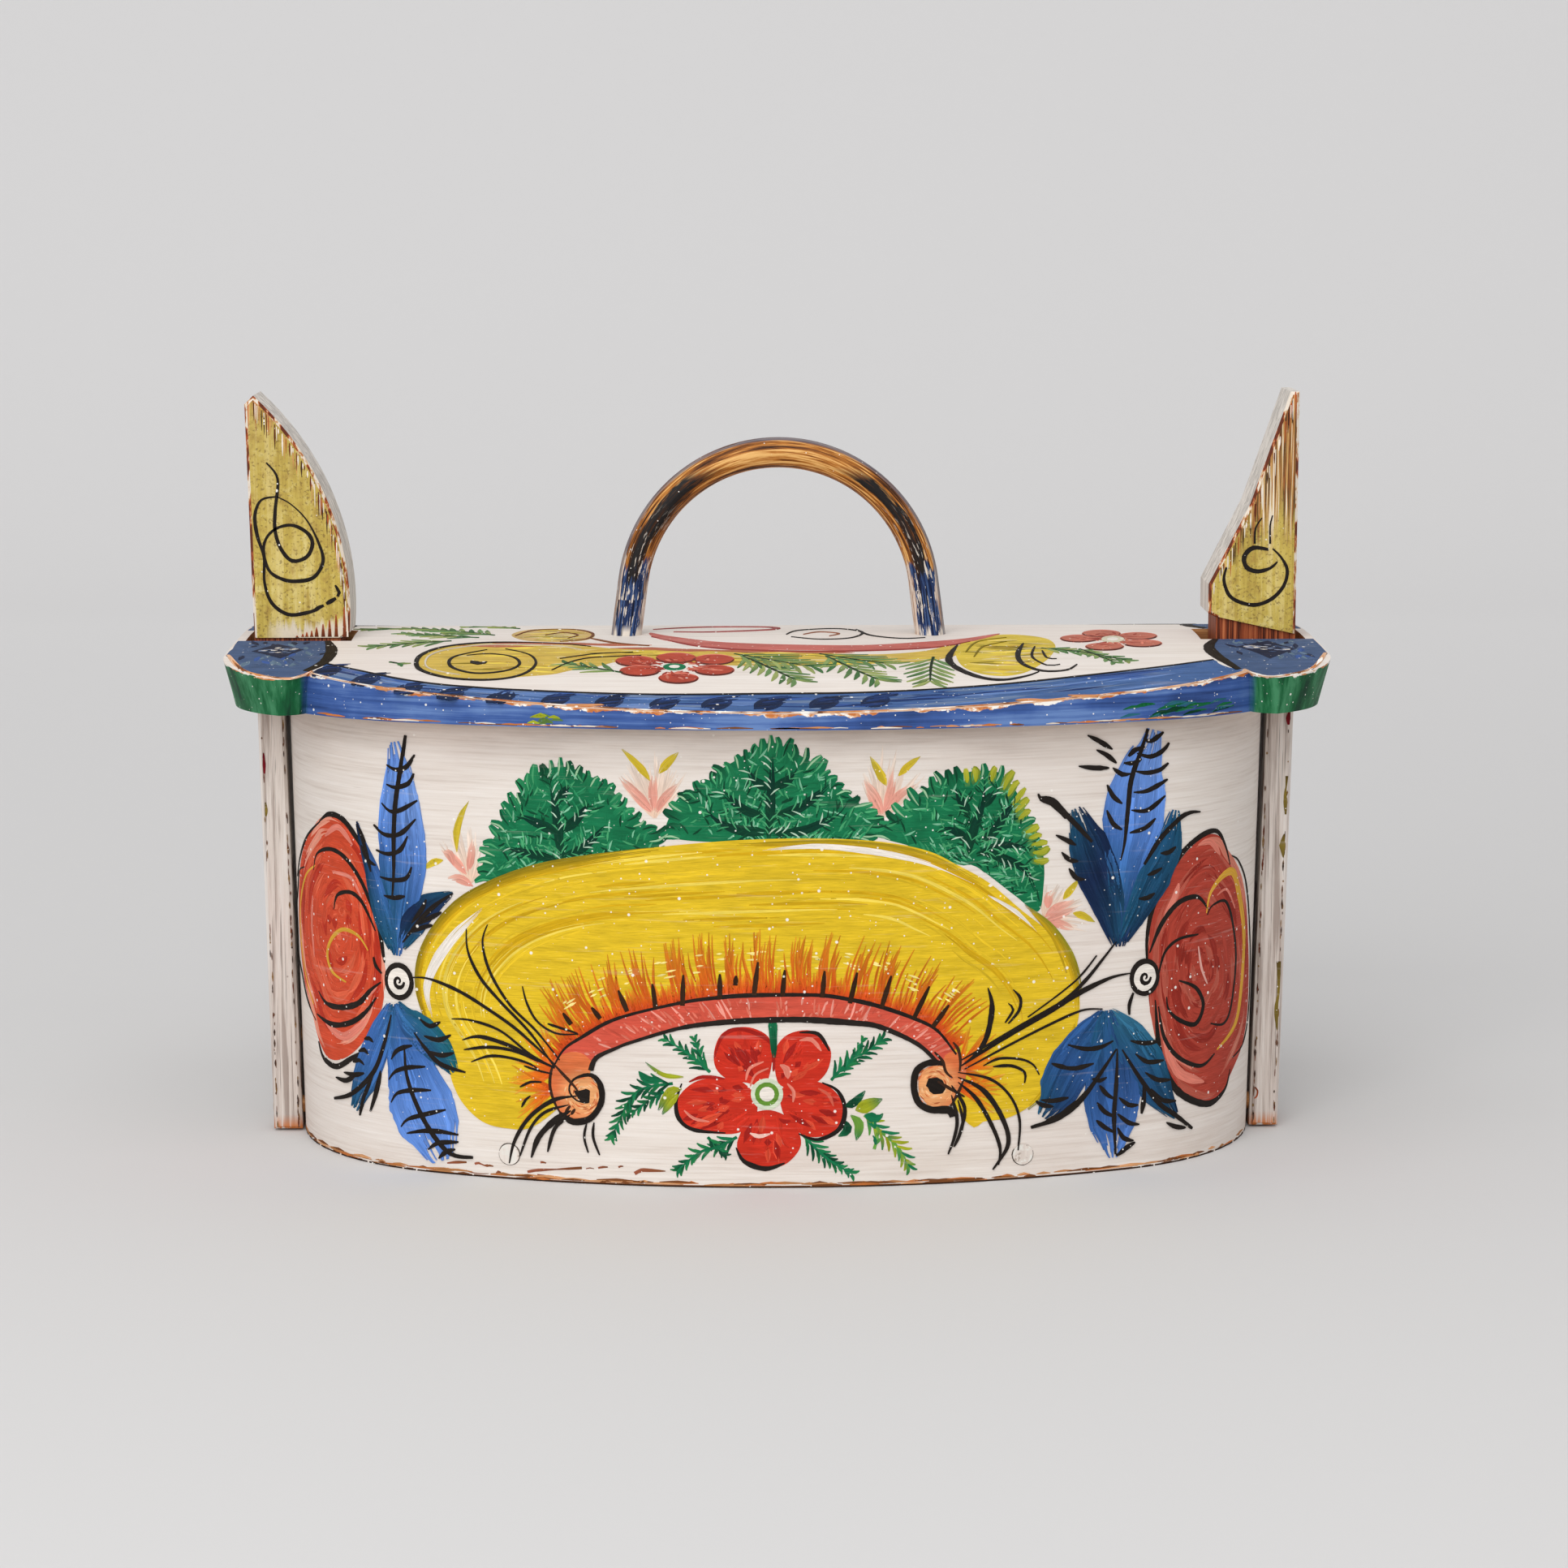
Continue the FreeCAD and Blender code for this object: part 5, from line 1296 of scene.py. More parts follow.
# Longer scratches in the cream above the front of the arris, down to reddish wood.
SCRATCHED = pigment(150, 84, 62)
SCRATCHES = (
    (((551, 1433), (562, 1432), (575, 1432)), (0.4, 1.1, 0.6)),
    (((585, 1434), (590, 1433), (597, 1436), (603, 1436), (608, 1437)), (0.8, 0.9, 0.3, 1.0, 0.4)),
    (((574, 1442), (579, 1444), (590, 1446), (602, 1446)), (0.4, 0.3, 0.3, 0.2)),
    (((612, 1446), (614, 1444), (617, 1445)), (0.9, 1.2, 0.8)),
    (((666, 1432), (669, 1432), (673, 1433)), (0.8, 0.7, 0.4)),
    (((650, 1444), (660, 1442), (680, 1441), (700, 1440), (717, 1439)), (0.9, 1.0, 0.5, 0.8, 0.9)),
    (((662, 1448), (669, 1449), (676, 1449)), (0.9, 1.0, 0.4)),
    (((722, 1440), (727, 1439), (732, 1440)), (0.3, 0.4, 0.2)),
    (((737, 1439), (743, 1438), (749, 1438)), (0.6, 0.8, 0.4)),
    (((762, 1438), (765, 1437), (768, 1437)), (0.7, 0.6, 0.3)),
    (((782, 1446), (790, 1442), (800, 1442), (820, 1443)), (1.3, 1.3, 1.0, 0.3)))
for pixels, widths in SCRATCHES:
    edge_wear_and_shadow.brush(wall_line(pixels), widths, (SCRATCHED, BARE_WOOD_DARK), 1, step=1.0)
edge_wear_and_shadow.dry("body", "wall_paint")

# ------------------------------------------------------------------ base board and pegs
# The base is one oval board of the same softwood, left bare. Round wooden pegs through the
# wall hold it; their heads were painted over with the wall, and the paint has cracked round them.
PEG_RING = 3.62
PEG_HEIGHT = 8.5
PEG_STATIONS = (-91.0, 81.4)
CRACK = pigment(84, 76, 68)
CRACKS_PER_PEG = 3
CRACK_KNOTS = 12


def softwood_finish(name, run):
    finish, tree, shader = new_finish(name)
    place = add(tree, "TexCoord").outputs["Object"]
    colour, relief = bare_softwood(tree, place, run)
    set_surface(tree, shader, colour, level(tree, relief, 0.3, 0.7, 0.75, 0.6), relief)
    return finish


def peg_finish():
    finish, tree, shader = new_finish("painted_peg")
    place = add(tree, "TexCoord").outputs["Object"]
    paint, relief = cream_coat(tree, place, (True, False, True))
    ends = streaks(tree, place, (260.0, 260.0, 260.0), detail=3.0, seed=9.0)
    colour = over(tree, level(tree, ends, 0.52, 0.6), paint, pigment(224, 220, 212))
    colour = over(tree, level(tree, ends, 0.42, 0.36), colour, pigment(176, 162, 150))
    set_surface(tree, shader, colour, level(tree, relief, 0.3, 0.7, 0.62, 0.5), relief)
    return finish


def on_back_wall(along, height, lift):
    """Point off the back of the wall: the front's, turned half round."""
    x, y, z = on_wall(along, height, lift)
    return Vector((-x, -y, z))


def crack_ring(centre, drift, turns):
    """Line round a peg's head, drawn in or out a little as it goes round."""
    reaches = [PEG_RING + drift * math.sin(turn) for turn in turns]
    return [(centre + reach * math.cos(turn), PEG_HEIGHT + reach * math.sin(turn))
            for turn, reach in zip(turns, reaches)]


dress("base_board", softwood_finish("base_softwood", (True, False, False)))
dress("base_pegs", peg_finish(), 0.0002)
for name, place, facing in (("front", on_wall, 1), ("back", on_back_wall, -1)):
    film = PaintFilm("peg_cracks_" + name, place)
    chance = film.chance
    for station in PEG_STATIONS:
        for crack in range(CRACKS_PER_PEG):
            start, sweep = chance.uniform(0, 2 * math.pi), chance.uniform(1.6, 4.4)
            drift = chance.uniform(-0.15, 0.25)
            turns = [start + sweep * step / CRACK_KNOTS for step in range(CRACK_KNOTS + 1)]
            film.brush(crack_ring(facing * station, drift, turns),
                       (0.15, chance.uniform(0.3, 0.6), 0.25, 0.5, 0.15), (CRACK,), 4, step=0.8)
    film.dry("body", "wall_paint")

# ---------------------------------------------------------------------------- lacing
# Two rows of split root sew the wall's lapped ends together at the back. The root is laced
# wet through holes in the strip, and dries hard and brown.


def root_finish():
    finish, tree, shader = new_finish("split_root")
    place = add(tree, "TexCoord").outputs["Object"]
    fibres = streaks(tree, place, (420.0, 420.0, 420.0), detail=4.0)
    colour = ramp(tree, fibres, [(0.34, pigment(88, 58, 36)), (0.5, pigment(140, 100, 62)),
                                 (0.68, pigment(182, 146, 100))])
    set_surface(tree, shader, colour, level(tree, fibres, 0.3, 0.7, 0.7, 0.5), fibres)
    return finish


dress("seam_lacing", root_finish(), 0.0001)

# ------------------------------------------------------------------------- end posts
# Each post is one upright board pegged to the base. Its shank is pale, its neck bare where the
# lid rubs, and its head ochre on both faces with a greyish rim; the grain runs upward.
OCHRE = pigment(196, 172, 82)
OCHRE_DARK = pigment(160, 134, 60)
OCHRE_PALE = pigment(216, 196, 124)
RUST = pigment(168, 80, 42)
RUST_DARK = pigment(98, 48, 30)
WORN_PALE = pigment(226, 214, 198)
POST_HALF_WIDTH = 13.0
NECK_HALF_WIDTH = 12.3
LID_CREST = 172.0
SHOULDER_TOP = 181.0
HEAD_FOOT = WALL_HEIGHT + 1.2


def post_finish():
    finish, tree, shader = new_finish("post_paint")
    texture = add(tree, "TexCoord")
    place, facing = texture.outputs["Object"], texture.outputs["Normal"]
    parts = add(tree, "SeparateXYZ", {0: place})
    height, depth = parts.outputs["Z"], parts.outputs["Y"]
    on_face = combine(tree, "ABSOLUTE", add(tree, "SeparateXYZ", {0: facing}).outputs["Y"], 0.0)
    flat_face = combine(tree, "GREATER_THAN", on_face, 0.5)
    pale, relief = cream_coat(tree, place, (False, False, True))
    dirt = streaks(tree, place, (420.0, 420.0, 14.0), seed=3.3)
    on_horn = combine(tree, "GREATER_THAN", parts.outputs["X"], 0.0)
    shank = over(tree, level(tree, height, 0.13, 0.0, 0.12, 0.34), pale, pigment(160, 142, 132))
    # Painted shade: the right post's shank is a little darker, as that post stands more in shade.
    shank = over(tree, times(tree, on_horn, 0.08), shank, pigment(140, 118, 112))
    shank = over(tree, level(tree, dirt, 0.5, 0.6, 0.0, 0.7), shank, pigment(138, 120, 110))
    shank = over(tree, level(tree, dirt, 0.45, 0.39, 0.0, 0.6), shank, pigment(224, 218, 212))
    hairlines = streaks(tree, place, (1300.0, 1300.0, 24.0), detail=3.0, seed=7.0)
    shank = over(tree, level(tree, hairlines, 0.6, 0.66, 0.0, 0.6), shank, pigment(84, 72, 66))
    foot_wear = times(tree, level(tree, height, 0.006, 0.0015), level(tree, dirt, 0.42, 0.5))
    shank = over(tree, foot_wear, shank, WORN_WOOD)
    stain = streaks(tree, place, (120.0, 120.0, 30.0), detail=2.0, seed=6.6)
    off_face = combine(tree, "SUBTRACT", 0.8, flat_face)
    shank = over(tree, times(tree, level(tree, stain, 0.62, 0.64), off_face), shank, pigment(104, 62, 50))
    grain = streaks(tree, place, (900.0, 900.0, 20.0), seed=1.1)
    broad = streaks(tree, place, (130.0, 130.0, 14.0), seed=8.8)
    ochre = ramp(tree, over(tree, 0.4, broad, grain),
                 [(0.36, OCHRE_DARK), (0.5, OCHRE), (0.62, OCHRE_PALE)])
    mottle = add(tree, "TexNoise", {"Vector": place, "Scale": 240.0, "Detail": 6.0, "Roughness": 0.7})
    ochre = over(tree, level(tree, mottle.outputs[0], 0.5, 0.66, 0.0, 0.6), ochre, pigment(156, 122, 62))
    ochre = over(tree, level(tree, mottle.outputs[0], 0.44, 0.34, 0.0, 0.6), ochre, pigment(222, 206, 138))
    ochre = over(tree, level(tree, height, 0.19, 0.235, 0.0, 0.3), ochre, pigment(150, 126, 64))
    fleck = add(tree, "TexNoise", {"Vector": place, "Scale": 1100.0, "Detail": 2.0}).outputs[0]
    ochre = over(tree, level(tree, fleck, 0.58, 0.66, 0.0, 0.6), ochre, pigment(112, 88, 48))
    white_specks = times(tree, spots(tree, place, 0.0032, 0.00035, 0.3), 0.7)
    ochre = over(tree, white_specks, ochre, SPECK_WHITE)
    ragged_height = combine(tree, "ADD", height, level(tree, dirt, 0.3, 0.7, -0.004, 0.004))
    low_patch = level(tree, ragged_height, 0.1785, 0.1755)
    low_patch = times(tree, low_patch, combine(tree, "SUBTRACT", 0.8, on_horn))
    low_patch = times(tree, low_patch, level(tree, parts.outputs["X"], -0.175, -0.168))
    ochre = over(tree, low_patch, ochre, WORN_PALE)
    fibres = streaks(tree, place, (1500.0, 1500.0, 22.0), detail=3.0, seed=2.9)
    weathered = ramp(tree, over(tree, 0.2, fibres, broad), [
        (0.45, pigment(54, 34, 24)), (0.475, pigment(148, 74, 38)), (0.51, pigment(174, 126, 70)),
        (0.55, pigment(196, 160, 102)), (0.58, pigment(228, 216, 196))])
    worn_height = combine(tree, "ADD", height, level(tree, grain, 0.3, 0.7, -0.012, 0.012))
    worn_top = times(tree, level(tree, worn_height, 0.206, 0.216), on_horn)
    ochre = over(tree, times(tree, worn_top, 0.9), ochre, weathered)
    tip_height = combine(tree, "ADD", height, level(tree, grain, 0.3, 0.7, -0.008, 0.008))
    tip_wood = ramp(tree, fibres, [
        (0.42, pigment(84, 42, 24)), (0.52, pigment(184, 98, 48)), (0.64, pigment(220, 184, 134))])
    ochre = over(tree, times(tree, level(tree, tip_height, 0.247, 0.252), 0.9), ochre, tip_wood)
    arris = combine(tree, "LESS_THAN", on_face, 0.93)
    breaks = streaks(tree, place, (300.0, 300.0, 110.0), detail=4.0, seed=4.4)
    broken = ramp(tree, breaks,
                  [(0.44, RUST_DARK), (0.49, RUST), (0.52, pigment(196, 158, 112)), (0.56, WORN_PALE)])
    ochre = over(tree, arris, ochre, broken)
    rim = over(tree, level(tree, dirt, 0.4, 0.6), pigment(226, 219, 210), pigment(186, 180, 172))
    rim = over(tree, level(tree, grain, 0.58, 0.66, 0.0, 0.7), rim, pigment(116, 104, 94))
    head = over(tree, flat_face, rim, ochre)
    # The bare neck is painted dark: partly its own darker wood, partly painted shade from the head above
    # it.
    wood = ramp(tree, over(tree, 0.4, fibres, grain), [
        (0.42, pigment(62, 28, 17)), (0.5, pigment(142, 66, 36)), (0.6, pigment(190, 112, 70))])
    side = combine(tree, "ABSOLUTE", depth, 0.0)
    cheek = times(tree, flat_face, combine(tree, "LESS_THAN", side, NECK_HALF_WIDTH * METRE))
    cheek = times(tree, cheek, combine(tree, "LESS_THAN", height, SHOULDER_TOP * METRE))
    throat_top = level(tree, on_horn, 0.0, 1.0, (LID_CREST + 2.0) * METRE, (SHOULDER_TOP - 1.0) * METRE)
    throat = times(tree, combine(tree, "SUBTRACT", 1.0, flat_face),
                   combine(tree, "LESS_THAN", height, throat_top))
    head = over(tree, combine(tree, "MAXIMUM", cheek, throat), head, wood)
    above = combine(tree, "GREATER_THAN", height, HEAD_FOOT * METRE)
    colour = over(tree, above, shank, head)
    set_surface(tree, shader, colour, level(tree, relief, 0.3, 0.7, 0.66, 0.5),
                over(tree, 0.5, relief, grain), depth=0.0003, strength=0.7)
    return finish


POST_PAINT = post_finish()
dress("left_post", POST_PAINT, 0.0003)
dress("right_post", POST_PAINT, 0.0003)
PEG_WOOD = softwood_finish("peg_softwood", (True, False, False))
dress("left_post_pegs", PEG_WOOD, 0.0002)
dress("right_post_pegs", PEG_WOOD, 0.0002)

# The cream has broken off in nicks along the upright arrises of the shanks. Some of the other
# colours ran or dripped on the outer ones. Each mark is given by its distance in from the outer
# arris and its height, in millimetres.
SHANK_FOOT = 174.6
SHANK_RIM = 177.8
NICKS = 90
NICK_INSETS = (1.2, 8.5)
NICK_TOP = 148.0
NICK_PAINTS = (pigment(66, 48, 40), pigment(104, 74, 58), pigment(128, 98, 60), RUST_DARK)
DRIPPED_OLIVE = (pigment(84, 68, 32), pigment(128, 110, 48), pigment(98, 82, 38))
DRIPPED_RED = (pigment(96, 18, 28), pigment(126, 24, 34))
DRIPS = {
    "left_post": ((((1.5, 132.8), (1.6, 129.0), (1.5, 125.7)), (0.5, 1.1, 0.6), DRIPPED_RED),
                  (((1.5, 115.7), (1.7, 113.4), (1.5, 110.9)), (0.4, 1.2, 0.5), DRIPPED_OLIVE)),
    "right_post": ((((1.5, 146.4), (1.8, 144.0), (1.6, 141.8)), (0.8, 1.6, 0.7), DRIPPED_RED),
                   (((1.5, 124.0), (1.6, 120.5), (1.8, 117.8), (1.4, 110.6)), (1.0, 0.5, 1.4, 0.6),
                    DRIPPED_OLIVE),
                   (((1.6, 103.8), (2.1, 99.8), (1.6, 95.5)), (0.3, 2.1, 0.3), DRIPPED_OLIVE),
                   (((1.8, 59.0), (1.6, 54.5), (1.5, 47.5), (2.0, 42.4), (1.4, 34.7)),
                    (1.6, 1.1, 0.9, 1.5, 0.4), DRIPPED_OLIVE),
                   (((8.4, 14.4), (7.4, 13.2), (7.6, 11.2), (8.4, 10.4)), (0.5, 0.6, 0.6, 0.4),
                    (RUST_DARK, RUST)))}


def on_head_front(x, height, lift):
    return Vector((x, -POST_HALF_WIDTH - lift, height)) * METRE


def on_head_rear(x, height, lift):
    return Vector((x, POST_HALF_WIDTH + lift, height)) * METRE


def on_shank(side, inset, height):
    """Canvas point at a distance in from the outer arris of a shank, which leans with the wall."""
    return side * (SHANK_FOOT + (SHANK_RIM - SHANK_FOOT) * height / WALL_HEIGHT - inset), height


for name, side in (("left_post", -1), ("right_post", 1)):
    for face, place in (("front", on_head_front), ("rear", on_head_rear)):
        film = PaintFilm(name + "_nicks_" + face, place)
        chance = film.chance
        marks = [(route, widths, paints, 2) for route, widths, paints in DRIPS[name] if face == "front"]
        for nick in range(NICKS):
            inset = chance.choice(NICK_INSETS) + chance.uniform(-0.1, 0.4)
            height = NICK_TOP * chance.random() ** 1.4 + 1
            length = chance.uniform(0.6, 4.0)
            marks.append((((inset, height), (inset, height + length / 2), (inset, height + length)),
                          (0.15, chance.uniform(0.25, 0.7), 0.15), (chance.choice(NICK_PAINTS),), 1))
        for route, widths, paints, coat in marks:
            film.brush([on_shank(side, inset, height) for inset, height in route], widths, paints, coat,
                       step=0.7)
        film.dry(name, "post_paint")

# Both faces of a head carry a freehand black scroll. Along the head's inner edge the paint is worn
# through to orange wood, in lines that follow the grain.
HEAD_MIDDLE = 200.0


def head_line(pixels):
    return spots_on(on_head_front, HEAD_MIDDLE, pixels)


LEFT_SCROLL = (
    (((328, 570), (342, 590), (339, 629), (339, 654), (346, 676), (360, 691), (378, 686), (385, 670),
      (378, 656), (358, 647), (336, 654), (325, 673), (331, 702), (349, 714), (368, 716), (387, 711),
      (398, 692), (393, 670), (378, 641), (358, 621), (341, 612)),
      (0.5, 1.1, 1.2, 1.3, 1.3, 0.9, 1.0, 1.3, 1.2, 0.5, 0.4)),
    (((341, 612), (322, 616), (314, 635), (317, 660), (325, 686), (326, 718), (335, 743), (355, 757),
      (378, 755), (390, 751)), (0.5, 1.0, 1.3, 0.9, 0.9, 1.2, 1.3, 1.2)),
    (((388, 752), (394, 748), (399, 746)), (1.2, 1.5, 0.9)),
    (((402, 744), (409, 740), (414, 737)), (0.9, 1.7, 1.0)),
    (((416, 735), (418, 730), (413, 721)), (1.0, 1.2, 0.6)))
LEFT_GROOVES = (
    (366, 783), (373, 781), (378, 779), (384, 777), (390, 773), (398, 769), (406, 764), (414, 757),
    (424, 748))
GROOVE_FOOT = LID_CREST + 0.9
RIGHT_SCROLL = (
    (((1511, 699), (1508, 715), (1515, 734), (1531, 743), (1549, 745), (1568, 737), (1582, 721),
      (1586, 702), (1578, 686), (1568, 676)), (0.7, 1.2, 1.3, 1.3, 1.2, 1.1, 0.5)),
    (((1563, 677), (1544, 675), (1533, 686), (1536, 699), (1549, 704), (1565, 700), (1574, 692)),
     (0.9, 1.6, 1.6, 1.5, 1.2, 0.5)),
    (((1546, 670), (1547, 651), (1555, 638)), (0.8, 0.6, 0.4)),
    (((1565, 670), (1565, 648), (1568, 635)), (0.7, 0.6, 0.4)))
# The heads' outlines, in millimetres: the left one bowed from nose to tip, the right one straight
# up its nose and in two runs to its tip. The paint starts a bevel's width inside them.
BLADE_NOSE = Vector((-145.8, 174.2))
BLADE_TIP = Vector((-177.2, 255.0))
BLADE_BULGE = 10.0
HORN_EDGE = ((147.8, 180.3), (147.8, 190.3), (161.6, 217.8), (174.8, 256.0))
EDGE_INSET = 1.5
WORN_REACH = 9.0
BLADE_LINES = 110
HORN_LINES = 60


def bowed_edge(start, end, bulge, inset):
    """Points along an arc that swells from its chord toward +X, moved in by the inset."""
    half_chord = (end - start).length / 2
    radius = (half_chord**2 + bulge**2) / (2 * bulge)
    swell = Vector(((end - start).y, (start - end).x)).normalized()
    centre = (start + end) / 2 + swell * (bulge - radius)
    half_turn = math.asin(half_chord / radius) * 0.96
    along = (end - start).normalized()
    return [centre + (swell * math.cos(turn) + along * math.sin(turn)) * (radius - inset)
            for turn in (half_turn * (2 * part / 12 - 1) for part in range(13))]


def worn_lines(film, edge, count, floor):
    """Lines of the grain laid bare: each starts at the head's edge and dies out above the floor."""
    places = [point for point in smooth(edge, 1.0) if point[1] > floor + 1.0]
    for line in range(count):
        x, top = film.chance.choice(places)
        bottom = max(top - WORN_REACH * film.chance.uniform(0.15, 1.0), floor)
        paint = film.chance.choice((RUST, RUST_DARK, pigment(70, 48, 34), WORN_PALE, WORN_PALE,
                                    pigment(204, 150, 92)))
        film.brush([(x, top), (x, (top + bottom) / 2), (x, bottom)],
                   (0.3, film.chance.uniform(0.25, 0.6), 0.1), (paint,), 1, step=2.0)


for face, place in (("front", on_head_front), ("rear", on_head_rear)):
    film = PaintFilm("left_head_" + face, place)
    for pixels, widths in LEFT_SCROLL:
        film.brush(head_line(pixels), widths, (INK,), 4, tone=0.02)
    worn_lines(film, bowed_edge(BLADE_NOSE, BLADE_TIP, BLADE_BULGE, EDGE_INSET), BLADE_LINES,
               LID_CREST + 1.0)
    for pixel in LEFT_GROOVES:
        x, top = head_line([pixel])[0]
        film.brush([(x, top), (x, (top + LID_CREST) / 2), (x, GROOVE_FOOT)], (0.3, 0.9, 1.3),
                   (RUST, RUST_DARK), 3)
        film.brush([(x + 1.0, top - 1.5), (x + 1.0, GROOVE_FOOT)], (0.2, 0.6), (WORN_PALE,), 2)
    film.dry("left_post", "post_paint")
    film = PaintFilm("right_head_" + face, place)
    for pixels, widths in RIGHT_SCROLL:
        film.brush(head_line(pixels), widths, (INK,), 4, tone=0.02)
    worn_lines(film, [(x + EDGE_INSET, height) for x, height in HORN_EDGE], HORN_LINES, HORN_EDGE[0][1])
    film.dry("right_post", "post_paint")

# ------------------------------------------------------------------------------- lid
# One board, domed across its depth by planing: cream on top with the grain along the box, blue on
# its rim and green on the outer sides of its four ears. Below and inside the slots it is bare.
LID_BLUE = pigment(58, 88, 150)
LID_BLUE_DARK = pigment(34, 56, 104)
LID_BLUE_PALE = pigment(98, 128, 180)
EAR_GREEN = pigment(20, 92, 52)
EAR_GREEN_DARK = pigment(10, 56, 36)
EAR_GREEN_PALE = pigment(62, 128, 88)
LID_HALF_LENGTH = 183.5
LID_HALF_DEPTH = 107.9
LID_END_RADIUS = 92.0
LID_RISE = 13.0
DOME_RADIUS = (LID_RISE**2 + LID_HALF_DEPTH**2) / (2 * LID_RISE)
EAR_ROOT = 156.0
SLOT_HALF_WIDTH = 15.3
SLOT_INNER = 144.0
SLOT_OUTER = 181.2


def on_lid(x, y, lift):
    """Point off the domed top of the lid."""
    across, up = y / DOME_RADIUS, math.sqrt(1 - (y / DOME_RADIUS) ** 2)
    return Vector((x, y + across * lift, LID_CREST - DOME_RADIUS * (1 - up) + up * lift)) * METRE


def on_lid_rim(along, height, lift):
    """Point off the upright rim of the lid, never beyond the lid's own depth."""
    point, outward = oval_place(LID_HALF_LENGTH, LID_HALF_DEPTH, LID_END_RADIUS, along)
    place = point + outward * lift + Vector((0.0, 0.0, height))
    place.y = max(place.y, -LID_HALF_DEPTH)
    return place * METRE


def lid_line(pixels):
    return spots_on(on_lid, -LID_HALF_DEPTH / 2, pixels)


def lid_finish():
    finish, tree, shader = new_finish("lid_paint")
    texture = add(tree, "TexCoord")
    place, facing = texture.outputs["Object"], texture.outputs["Normal"]
    x, y, z = add(tree, "SeparateXYZ", {0: place}).outputs
    upward = add(tree, "SeparateXYZ", {0: facing}).outputs["Z"]
    out = combine(tree, "ABSOLUTE", x, 0.0)
    aside = combine(tree, "ABSOLUTE", y, 0.0)
    cream, relief = cream_coat(tree, place, (True, False, False))
    blue_strokes = streaks(tree, place, (16.0, 16.0, 520.0), seed=2.2)
    blue_cloud = add(tree, "TexNoise", {"Vector": place, "Scale": 30.0, "Detail": 5.0}).outputs[0]
    blue = ramp(tree, over(tree, 0.5, blue_strokes, blue_cloud), [
        (0.38, LID_BLUE_DARK), (0.5, LID_BLUE), (0.6, LID_BLUE_PALE)])
    drips = streaks(tree, place, (160.0, 160.0, 14.0), seed=5.2)
    green = ramp(tree, drips, [(0.38, EAR_GREEN_DARK), (0.5, EAR_GREEN), (0.62, EAR_GREEN_PALE)])
    rim = over(tree, level(tree, out, (EAR_ROOT - 1.0) * METRE, (EAR_ROOT + 1.5) * METRE), blue, green)
    for spacing, radius, share in ((0.0048, 0.0005, 0.5), (0.0026, 0.0003, 0.45), (0.0015, 0.00018, 0.3)):
        specks = times(tree, spots(tree, place, spacing, radius, share), 0.85)
        rim = over(tree, specks, rim, SPECK_WHITE)
    dome_side = combine(tree, "SUBTRACT", (DOME_RADIUS * METRE) ** 2, times(tree, y, y))
    dome_height = combine(tree, "ADD", combine(tree, "SQRT", dome_side, 0.0),
                          (LID_CREST - DOME_RADIUS) * METRE)
    drop = level(tree, combine(tree, "SUBTRACT", dome_height, z), 0.0, 0.0026, 0.0, 0.4)
    chipping = streaks(tree, place, (110.0, 110.0, 180.0), detail=4.0, seed=3.9)
    worn = level(tree, combine(tree, "SUBTRACT", chipping, drop), 0.44, 0.47)
    ground = streaks(tree, place, (220.0, 220.0, 400.0), detail=3.0, seed=6.1)
    chips = ramp(tree, ground, [(0.42, WORN_WOOD), (0.5, pigment(214, 158, 112)), (0.56, SPECK_WHITE)])
    rim = over(tree, worn, rim, chips)
    wood, wood_relief = bare_softwood(tree, place, (True, False, False))
    top = combine(tree, "GREATER_THAN", upward, 0.6)
    colour = over(tree, top, rim, cream)
    in_slot = times(tree, combine(tree, "LESS_THAN", aside, SLOT_HALF_WIDTH * METRE),
                    combine(tree, "GREATER_THAN", out, SLOT_INNER * METRE))
    in_slot = times(tree, in_slot, combine(tree, "LESS_THAN", out, SLOT_OUTER * METRE))
    in_slot = times(tree, in_slot, combine(tree, "SUBTRACT", 1.0, top))
    bare = combine(tree, "MAXIMUM", in_slot, combine(tree, "LESS_THAN", upward, -0.5))
    colour = over(tree, bare, colour, wood)
    rough = level(tree, relief, 0.3, 0.7, 0.62, 0.48)
    set_surface(tree, shader, colour, rough, over(tree, bare, relief, wood_relief))
    return finish


dress("lid_board", lid_finish(), 0.0005)

# A blue band runs inside the lid's rim, shut in by a black line, and the ears are blue beyond an
# S-shaped stroke. Brushed navy shadows cross the band, most of them on its left half.
BAND_LINE = lid_line((
    (403, 818), (441, 826), (489, 836), (537, 843), (585, 847), (633, 850), (728, 854), (824, 856),
    (950, 855), (1046, 854), (1141, 850), (1237, 843), (1333, 833), (1428, 822), (1495, 813)))
RIM_REACH = 162.5
BAND_SHADOWS = (
    (403, 827), (451, 838), (504, 848), (556, 855), (618, 859), (685, 862), (752, 864), (819, 867),
    (884, 867), (948, 867), (1016, 866), (1078, 864))
EAR_CURVES = {-1: ((153, -16), (150, -35), (151, -52), (156, -64)),
              1: ((150, -16), (146, -31), (147, -46), (152, -64))}
EAR_ARRIS = ((154.8, -65.0), (158.0, -70.7), (163.9, -73.6), (177.2, -64.4), (185.0, -42.6), (183.9, -16.0))
EAR_DIAMONDS = {-1: ((310, 803), (342, 794), (374, 801), (346, 812)),
                1: ((1524, 797), (1562, 790), (1597, 800), (1565, 812))}
EAR_HEART = (168.0, -37.0)
EAR_BLUE = pigment(70, 90, 124)
EAR_BLUE_DARK = pigment(34, 42, 66)
BAND_BLUE = pigment(68, 98, 146)
BAND_PULLS = 150
SHADOW_HAIRS = 16
EAR_PULLS = 60
EAR_FLECKS = 34


def mirrored_line(line, side):
    """The same line on the other side of the lid's long middle."""
    return [(x, side * y) for x, y in line]


